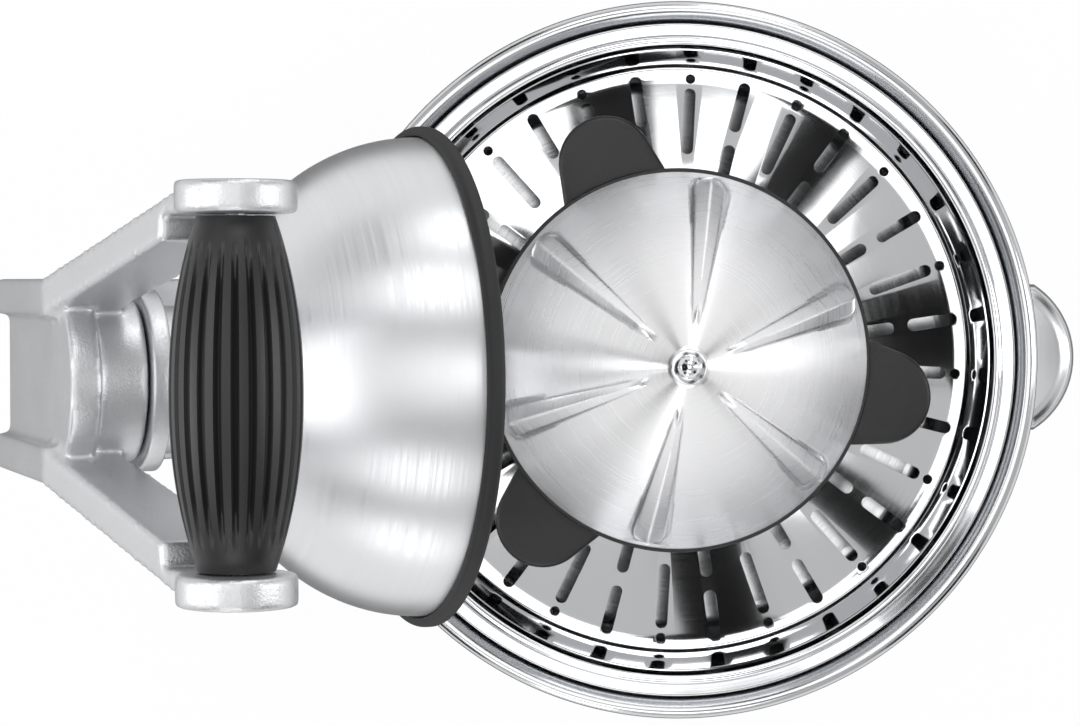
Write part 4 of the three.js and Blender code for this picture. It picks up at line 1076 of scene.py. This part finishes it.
@dataclass
class LeverArm(Assembly):
    """The raised arm, drawn closed about its pivot: casting, collar, dome, ring and grip."""

    rail_in: float = 13.0
    rail_out: float = 20.5
    eye: float = 13.0
    rail_z: float = 63.0
    rail_r: float = 7.0
    corner_x: float = 55.0
    splay_x: float = 107.7
    splay: float = 13.6
    grip_x: float = 181.0
    grip_z: float = 48.0
    boss: float = 11.0
    boss_in: float = 32.0
    boss_out: float = 38.0
    dome_x: float = 105.0
    dome_rim: float = -9.0
    dome_radius: float = 50.0
    dome_depth: float = 45.0
    crown: float = 14.7
    hub_radius: float = 16.5
    hub_low: float = 50.8
    web_low: float = 61.0
    web_high: float = 67.0
    web_front: float = 125.0
    web_sag: float = 7.0
    lug_reach: float = 18.0
    bush_bore: float = 6.3
    screw_bore: float = 4.3
    rod_bore: float = 2.3
    bolt_bore: float = 3.3
    flutes: int = 24
    grip_half: float = 31.6
    grip_middle: float = 12.0
    grip_end: float = 7.0
    flute_depth: float = 1.15
    flute_share: float = 0.84

    def build(self) -> None:
        """Makes the arm's pieces."""
        self.build_casting()
        self.build_dome()
        self.build_collar()
        self.build_grip()
        self.dress(PLAIN_STEEL, "dome_bolt", "grip_rod", "grip_screw_left", "grip_screw_right")
        self.dress(BRONZE, "hinge_bush_left", "hinge_bush_right")

    def build_casting(self) -> None:
        """The casting: rails, web, hub and bosses run together with the soft corners of a casting."""
        rail = (self.corner_x, self.rail_z)
        kink = (self.splay_x, self.rail_z)
        bar = (self.lug_reach * math.cos(math.radians(120)), self.lug_reach * math.sin(math.radians(120)))
        reach = (self.grip_x - self.splay_x) / math.cos(math.radians(self.splay))
        half, rear = self.rail_in + 1, self.corner_x - 3
        bend = (half ** 2 + self.web_sag ** 2) / (2 * self.web_sag)
        turn = math.degrees(math.asin(half / bend))
        web = [(rear, half), (rear, -half), *arc(self.web_front - bend, 0, bend, -turn, turn, 20)]
        grip_axis = shifted(self.grip_x, 0, self.grip_z)
        lumps = [
            plate("web", web, self.web_low, self.web_high),
            placed(bore(self.hub_radius, self.hub_low, self.web_high - 1, steps=64), shifted(self.dome_x)),
            placed(bore(3.0, -14, 14, Axis.Y), shifted(bar[0], 0, bar[1])),
        ]
        for side in (1, -1):
            low, high = sorted((side * self.rail_in, side * self.rail_out))
            front_end = (self.splay_x + reach, self.grip_z)
            front = plate("front", strap(kink, self.rail_r, front_end, self.boss - 3), low, high, Axis.Y)
            hub = shifted(self.splay_x, side * self.rail_out)
            placed(front, hub @ Matrix.Rotation(side * math.radians(self.splay), 4, "Z") @ hub.inverted())
            beside = sorted((side * self.boss_out, side * (self.boss_out + 30)))
            within = sorted((0, side * self.boss_in))
            for start, (near, far) in ((self.grip_x - 20, beside), (self.grip_x - 13, within)):
                end = self.grip_x + 20
                room = plate("room", rectangle(start, near, end, far), 20, 80)
                combine(front, room, Join.CUT)
            boss_low, boss_high = sorted((side * self.boss_in, side * self.boss_out))
            lumps += [
                plate("link", strap((0, 0), self.eye, rail, self.rail_r), low, high, Axis.Y),
                plate("lug", strap((0, 0), self.eye, bar, 5.0), low, high, Axis.Y),
                plate("rail", strap(rail, self.rail_r, kink, self.rail_r - 0.01), low, high, Axis.Y),
                front,
                placed(bore(self.boss, boss_low, boss_high, Axis.Y, 64), grip_axis),
            ]
        arm = merged(lumps)
        apply_modifier(arm, "REMESH", mode="VOXEL", voxel_size=0.65 * MM)
        apply_modifier(arm, "SMOOTH", factor=0.5, iterations=10)
        apply_modifier(arm, "DECIMATE", ratio=0.3)
        for plug in (
            bore(self.bush_bore, -self.rail_out - 2, self.rail_out + 2, Axis.Y),
            placed(bore(self.screw_bore, self.boss_out - 3, 60, Axis.Y), grip_axis),
            placed(bore(self.screw_bore, -60, -self.boss_out + 3, Axis.Y), grip_axis),
            placed(bore(self.rod_bore, -60, 60, Axis.Y), grip_axis),
            placed(bore(self.bolt_bore, 45, 60), shifted(self.dome_x)),
        ):
            combine(arm, plug, Join.CUT)
        placed(smoothed(arm, 40), self.at.from_pivot())
        self.hand_in(arm, "lever_casting", "arm", Slot.CAST, CAST, "arm_casting")

    def dome_steel(self) -> TurnedSteel:
        """The dome's spun steel, brushed round its axis."""
        centre = self.at.from_pivot() @ (Vector((self.dome_x, 0, self.dome_rim)) * MM)
        return TurnedSteel("brushed_dome_steel", "#E2E3E5", 0.42, tuple(centre), self.at.arm_axis(),
                           line_mm=0.6, line_depth=0.9, spread=0.3, anisotropic=0.8)

    def shell_profile(self, inset: float, steps: int) -> list[Point]:
        """The dome's outline from rim to crown, moved in by an amount.

        Args:
            inset: how far it is moved in.
            steps: how many steps it takes.

        Returns:
            The outline's points.
        """
        radius, depth = self.dome_radius - inset, self.dome_depth - inset
        last = math.degrees(math.acos(self.crown / radius))
        turns = (math.radians(last * i / steps) for i in range(steps + 1))
        return [(radius * math.cos(t), self.dome_rim + depth * math.sin(t)) for t in turns]

    def build_dome(self) -> None:
        """The pressing dome, its liner and the black ring round its rim."""
        lift = shifted(self.dome_x)
        for name, node, slot, finish, inset, wall in (
            ("dome_skin", "dome_shell", Slot.BRUSHED, self.dome_steel(), 0.0, 1.3),
            ("dome_lining", "dome_liner", Slot.PLASTIC, ABS, 1.8, 1.6),
        ):
            outer = self.shell_profile(inset, 36)
            inner = self.shell_profile(inset + wall, 24)[::-1]
            profile = [*outer, (self.bolt_bore, outer[-1][1]), (self.bolt_bore, inner[0][1]), *inner]
            shell = turned(name, profile, 144)
            placed(smoothed(shell), self.at.from_pivot() @ lift)
            self.hand_in(shell, name, "arm", slot, finish, node)
        low = self.dome_rim - 2.3
        ring = turned("ring", [
            (46.6, self.dome_rim - 0.3), (46.9, low), (51.6, low), (52.3, low + 0.7), (52.3, low + 2.6),
            (51.7, low + 3.4), (50.3, low + 3.6), (50.3, self.dome_rim - 0.3),
        ], 144)
        placed(smoothed(bevelled(ring, 0.4)), self.at.from_pivot() @ lift)
        self.hand_in(ring, "dome_rim_ring", "arm", Slot.RUBBER, RUBBER, "dome_ring")

    def build_collar(self) -> None:
        """The collar between the dome's crown and the hub."""
        crown = self.shell_profile(0, 8)[-1][1] + 0.3
        top, neck, flange = self.hub_low - 0.3, 15.0, 18.5
        collar = turned("collar", [
            (self.bolt_bore, crown), (neck - 1, crown), (neck, crown + 1.5), (neck, top - 4),
            (flange, top - 4), (flange, top), (self.bolt_bore, top),
        ], 96)
        placed(smoothed(bevelled(collar, 0.6)), self.at.from_pivot() @ shifted(self.dome_x))
        self.hand_in(collar, "hub_collar_body", "arm", Slot.CAST, CAST, "hub_collar")

    def build_grip(self) -> None:
        """The barrel grip, whose flutes run out before its plain ends."""
        half, middle, end = self.grip_half, self.grip_middle, self.grip_end
        rings = 72
        spots = [2 * i / rings - 1 for i in range(rings + 1)]
        barrel = [(middle + (end - middle) * abs(s) ** 2.2, half * s) for s in spots]
        profile = [(self.screw_bore, -half), *barrel, (self.screw_bore, half)]
        grip = turned("grip", profile, self.flutes * 12, Axis.Y)

        def flute(place: Vector) -> Vector:
            """Sinks a point of the barrel where a flute runs.

            Args:
                place: the point, in millimetres.

            Returns:
                The sunk point, or the same one between the flutes.
            """
            radius = math.hypot(place.x, place.z)
            share = abs(place.y) / (half * self.flute_share)
            if radius < end - 0.5 or share >= 1 or abs(place.y) > half - 0.2:
                return place
            turn = math.atan2(place.z, place.x) * self.flutes
            groove = max(0.0, math.cos(turn)) ** 0.8
            depth = self.flute_depth * groove * min(1.0, (1 - share) / 0.3) ** 0.7
            scale = (radius - depth) / radius
            return Vector((place.x * scale, place.y, place.z * scale))

        reshape(grip, flute)
        placed(smoothed(grip, 50), self.at.from_pivot() @ shifted(self.grip_x, 0, self.grip_z))
        self.hand_in(grip, "barrel_grip", "arm", Slot.GRIP, SOFT_TOUCH, "grip_sleeve")


# ---------------------------------------------------------------- housing, base and column


@dataclass
class Housing(Assembly):
    """The steel housing, black deck and base, feet and the rear column."""

    foot_radius: float = 82.0
    top_radius: float = 80.0
    low: float = 12.3
    tail: float = 122.0
    tail_half: float = 37.0
    corner: float = 12.0
    pin_z: float = 246.4
    pivot_x: float = -105.0
    wall: float = 1.6
    eye: float = 12.0
    column_half: float = 12.7
    column_front: float = -86.0
    spring_half: float = 14.0
    spring_room: float = 6.3
    pin_bore: float = 4.3
    cord_rise: float = 38.0
    cord_bore: float = 6.3

    def build(self) -> None:
        """Makes the standing pieces."""
        self.build_shell()
        self.build_deck()
        self.build_base()
        self.build_feet()
        self.build_column()
        self.build_gland()
        self.dress(CAST, "hinge_cap_left", "hinge_cap_right")
        self.dress(RUBBER, "stop_bumper", "shaft_seal")
        self.dress(PLAIN_STEEL, "hinge_pin", "lift_spring", "column_screw_1", "column_screw_2")

    def build_shell(self) -> None:
        """The brushed housing wall with its cord hole."""
        top = self.at.deck_low
        profile = [
            (self.foot_radius, self.low), (self.top_radius, top), (self.top_radius - self.wall, top),
            (self.foot_radius - self.wall, self.low),
        ]
        shell = bevelled(turned("housing", profile, 160), 0.5)
        hole = placed(bore(self.cord_bore, -90, -60, Axis.X), shifted(0, 0, self.low + self.cord_rise))
        combine(shell, hole, Join.CUT)
        placed(smoothed(shell), self.at.from_table())
        steel = TurnedSteel("brushed_housing_steel", "#D4D5D7", 0.3, self.at.centre(0), line_mm=0.4,
                            line_depth=0.3, spread=0.16, anisotropic=0.6)
        self.hand_in(shell, "housing_skin", "root", Slot.BRUSHED, steel, "housing_shell")

    def build_deck(self) -> None:
        """The black deck that closes the housing under the bowl."""
        low, top = self.at.deck_low, self.at.deck_high
        inner = self.top_radius - 2.5
        deck = turned("deck", [
            (8.9, top - 8), (13, top - 8), (13, top - 3), (inner - 2.5, top - 3), (inner - 2.5, low - 10),
            (inner, low - 10), (inner, low + 0.3), (self.top_radius, low + 0.3), (self.top_radius, top - 2),
            *arc(self.top_radius - 2, top - 2, 2, 15, 90, 5),
            (76, top), (75.4, top - 0.6), (72.6, top - 0.6), (72, top), (8.9, top),
        ], 160)
        placed(smoothed(deck), self.at.from_table())
        self.hand_in(deck, "deck_body", "root", Slot.PLASTIC, ABS, "top_deck")

    def build_base(self) -> None:
        """The base plate with its tail under the column."""
        body = self.foot_radius + 2
        meet = math.degrees(math.acos(-math.sqrt(body ** 2 - self.tail_half ** 2) / body))
        side, rear = self.tail_half - self.corner, -self.tail + self.corner
        outline = [
            *arc(0, 0, body, -meet, meet, 72),
            *arc(rear, side, self.corner, 90, 180, 12),
            *arc(rear, -side, self.corner, 180, 270, 12),
        ]
        base = bevelled(plate("base", outline, 6.0, 12.0), 1.4, 4)
        for node in ("foot_1", "foot_2", "foot_3", "foot_4"):
            low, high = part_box(node)
            x, y = (low[0] + high[0]) / 2 / MM, (low[1] + high[1]) / 2 / MM
            combine(base, placed(bore(3.3, 4, 14), shifted(x - self.at.axis_x, y)), Join.CUT)
        placed(smoothed(base), self.at.from_table())
        self.hand_in(base, "base_body", "root", Slot.PLASTIC, ABS, "base_plate")

    def build_feet(self) -> None:
        """Four rubber feet with a grooved side."""
        for index in range(1, 5):
            node = f"foot_{index}"
            low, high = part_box(node)
            profile = [
                (0, 0), (7.6, 0), (9.0, 1.2), (9.0, 2.6), (8.5, 3.0), (9.0, 3.4), (9.0, 5.7), (3, 5.7),
                (3, 11.7), (0, 11.7),
            ]
            foot = smoothed(turned(node, profile, 48, closed=False))
            placed(foot, Matrix.Translation(((low[0] + high[0]) / 2, (low[1] + high[1]) / 2, 0)))
            self.hand_in(foot, f"rubber_foot_{index}", "root", Slot.RUBBER, RUBBER, node)

    def build_column(self) -> None:
        """The cast column behind the housing, with a pocket for the lift spring."""
        x, z = self.pivot_x, self.pin_z
        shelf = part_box("stop_bumper")[0][2] / MM - 0.3
        rear, front, eye = x - 14, self.column_front, self.eye
        outline = [
            (rear, self.low), (front, self.low), (front, self.at.deck_low * 0.8), (x + eye, z - 36),
            *arc(x, z, eye, 0, 180, 28),
            (x - eye, shelf), (rear - 8, shelf), (rear - 8, shelf - 5), (rear, shelf - 20),
        ]
        column = plate("column", outline, -self.column_half, self.column_half, Axis.Y)
        room = self.spring_half
        pocket = rectangle(x - room, z - room, x + room, z + room)
        combine(column, plate("pocket", pocket, -self.spring_room, self.spring_room, Axis.Y), Join.CUT)
        bevelled(column, 1.2, 3)
        cord = bore(self.cord_bore, -125, -80, Axis.X)
        combine(column, placed(bore(self.pin_bore, -20, 20, Axis.Y), shifted(x, 0, z)), Join.CUT)
        combine(column, placed(cord, shifted(0, 0, self.low + self.cord_rise)), Join.CUT)
        placed(smoothed(column), self.at.from_table())
        self.hand_in(column, "column_casting", "root", Slot.CAST, CAST, "rear_column")

    def build_gland(self) -> None:
        """The black gland in the column's back."""
        rear = self.pivot_x - 14
        profile = [
            (3.6, -77), (6, -77), (6, rear - 0.3), (8.5, rear - 0.3), (8.5, rear - 1.6), (7.2, rear - 4.6),
            (6.2, rear - 5), (4.2, rear - 5), (3.6, rear - 4.2),
        ]
        gland = smoothed(turned("gland", profile, 48, Axis.X))
        placed(gland, shifted(self.at.axis_x, 0, self.low + self.cord_rise))
        self.hand_in(gland, "cord_gland_body", "root", Slot.PLASTIC, ABS, "cord_gland")


@dataclass
class Mechanism(Assembly):
    """The drive inside the housing, whose CAD nodes stay, but for the spring, which is remade as a rigid
    copy.
    """

    travel: float = 2.5

    def build(self) -> None:
        """Makes the spring and gives each hidden piece its finish."""
        self.build_spring()
        self.dress(PLAIN_STEEL, "motor_plate", "gear_plate", "motor_can", "rotor", "idler_pin", "spindle",
                   "switch_bracket", *(f"frame_post_{i}" for i in (1, 2, 3)),
                   *(f"frame_spacer_{i}" for i in (1, 2, 3)))
        self.dress(BRONZE, "lower_bush", "upper_bush")
        self.dress(NYLON, "idler_gear", "output_gear", "switch_plunger")
        self.dress(ABS, "motor_end_cap", "switch_body")

    def build_spring(self) -> None:
        """The return spring, which on the press shortens towards its foot as the spindle is pressed; here a
        rigid copy carried on the output gear.
        """
        source = frame["nodes"]["return_spring"]
        spring = bpy.data.objects.new("return_coil", source.data.copy())
        bpy.context.scene.collection.objects.link(spring)
        placed(spring, source.matrix_world.copy())
        bpy.ops.object.mode_set(mode="EDIT")
        tidy_edit_mesh()
        smoothed(spring, 50)
        self.hand_in(spring, "return_coil", "output_gear", Slot.PLAIN, PLAIN_STEEL, "return_spring")
        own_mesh(spring)


# ---------------------------------------------------------------- studio


@dataclass(frozen=True)
class Panel:
    """A soft box or a black flag, placed from the rim by two angles in degrees and a distance in metres."""

    name: str
    azimuth: float
    elevation: float
    distance: float
    width: float
    height: float
    radiance: float = 0.0

    def away(self) -> Vector:
        """The direction from the rim to the panel."""
        turn, rise = math.radians(self.azimuth), math.radians(self.elevation)
        return Vector((math.cos(turn) * math.cos(rise), math.sin(turn) * math.cos(rise), math.sin(rise)))

    def place(self, target: Vector) -> Matrix:
        """The panel's place, facing the rim with its width level.

        Args:
            target: the rim's middle, in metres.

        Returns:
            The place as a matrix.
        """
        away = self.away()
        facing = away.to_track_quat("Z", "Y").to_matrix().to_4x4()
        return Matrix.Translation(target + away * self.distance) @ facing


@dataclass
class Studio:
    """White floor and backdrop, soft boxes, black flags and the camera overhead."""

    at: Layout
    camera_height: float = 720.0
    camera_x: float = -34.8
    camera_y: float = 20.0
    lens: float = 96.0
    tilt: float = -1.615
    mat_radius: float = 420.0
    mat_levels: tuple[float, float] = (-0.8, -0.4)
    lights: tuple[Panel, ...] = (
        Panel("overhead", 90, 88, 1.7, 1.0, 1.0, 1.2),
        Panel("left_box", 176, 52, 1.4, 1.0, 0.6, 2.4),
        Panel("rear_box", 84, 50, 1.4, 0.8, 0.5, 2.6),
        Panel("right_strip", 4, 36, 1.4, 0.3, 0.7, 5.0),
        Panel("front_box", 262, 50, 1.4, 0.8, 0.45, 2.2),
        Panel("low_left", 184, 17, 1.5, 0.4, 0.5, 5.0),
        Panel("low_rear", 76, 17, 1.5, 0.35, 0.5, 5.0),
        Panel("low_front", 256, 16, 1.5, 0.3, 0.5, 4.0),
        Panel("low_right", 2, 14, 1.5, 0.3, 0.4, 4.0),
    )
    flags: tuple[Panel, ...] = (
        Panel("flag_front_right", 318, 24, 1.1, 0.4, 0.6),
        Panel("flag_right", 33, 20, 1.1, 0.25, 0.5),
        Panel("flag_rear", 118, 22, 1.1, 0.28, 0.5),
        Panel("flag_front_left", 232, 20, 1.1, 0.3, 0.5),
        Panel("flag_high_1", 98, 68, 1.0, 0.12, 0.3),
        Panel("flag_high_2", 48, 68, 1.0, 0.1, 0.3),
        Panel("flag_high_3", 2, 65, 1.0, 0.14, 0.22),
        Panel("flag_high_4", 322, 68, 1.0, 0.08, 0.3),
        Panel("flag_high_5", 286, 68, 1.0, 0.12, 0.3),
        Panel("flag_high_6", 205, 68, 1.0, 0.14, 0.3),
    )

    def build(self) -> None:
        """Sets the room, the lights, the flags and the camera."""
        self.build_room()
        self.build_lights()
        self.build_flags()
        self.build_camera()

    def build_room(self) -> None:
        """A round white floor that curves up into a low backdrop, under an even pale sky."""
        floor = turned("studio_floor", [
            (0, -1), (2300, -1), *arc(2300, 699, 700, -90, 0, 16), (3000, 900), (3040, 900),
            (3040, -40), (0, -40),
        ], 96, closed=False)
        smoothed(floor, 60)
        floor.data.materials.append(WHITE_PAPER.material())
        world = bpy.data.worlds.new("room")
        bpy.context.scene.world = world
        world.use_nodes = True
        world.node_tree.nodes.clear()
        air = add(world.node_tree, "ShaderNodeBackground", Color=linear("#CACACA"), Strength=1.0)
        add(world.node_tree, "ShaderNodeOutputWorld", Surface=air.outputs[0])

    def build_lights(self) -> None:
        """The soft boxes, each as bright as its radiance says whatever its size."""
        target = Vector(self.at.centre(self.at.rim))
        for panel in self.lights:
            lamp = bpy.data.lights.new(panel.name, "AREA")
            lamp.shape = "RECTANGLE"
            lamp.size, lamp.size_y = panel.width, panel.height
            lamp.energy = panel.radiance * math.pi * panel.width * panel.height
            holder = bpy.data.objects.new(panel.name, lamp)
            bpy.context.scene.collection.objects.link(holder)
            holder.matrix_world = panel.place(target)
            holder.visible_camera = False

    def build_flags(self) -> None:
        """Black flags that only reflections see, which give polished steel its dark patches."""
        target = Vector(self.at.centre(self.at.rim))
        for panel in self.flags:
            half, rise = panel.width / 2 / MM, panel.height / 2 / MM
            flag = plate(panel.name, rectangle(-half, -rise, half, rise), 0, 3)
            self.hide_flag(placed(flag, panel.place(target)), BLACK_FELT)
        mat = bore(self.mat_radius, *self.mat_levels)
        mat.name = "flag_mat"
        self.hide_flag(mat, GREY_FELT)

    def hide_flag(self, flag: bpy.types.Object, felt: Felt) -> None:
        """Dresses a flag and keeps it out of everything but reflections.

        Args:
            flag: the flag.
            felt: its finish.
        """
        flag.data.materials.append(felt.material())
        flag.visible_camera = flag.visible_diffuse = flag.visible_shadow = False

    def build_camera(self) -> None:
        """The camera, straight above, a touch to the rear."""
        lens = bpy.data.cameras.new("overhead")
        lens.lens = self.lens
        lens.sensor_width = 36
        lens.clip_end = 20
        camera = bpy.data.objects.new("overhead", lens)
        bpy.context.scene.collection.objects.link(camera)
        camera.location = Vector((
            self.at.axis_x + self.camera_x, self.camera_y, self.at.rim + self.camera_height,
        )) * MM
        camera.rotation_euler = (math.radians(self.tilt), 0, 0)
        bpy.context.scene.camera = camera


def main() -> None:
    """Builds every sub-assembly in order, then the studio."""
    logging.basicConfig(level=logging.INFO, format="%(name)s %(message)s")
    bpy.context.scene.view_settings.view_transform = "Standard"
    layout = Layout.read()
    for assembly in (Bowl, Reamer, LeverArm, Housing, Mechanism):
        log.info("building %s", assembly.__name__)
        assembly(layout).build()
    Studio(layout).build()
    bpy.context.view_layer.update()


if __name__ == "__main__":
    main()
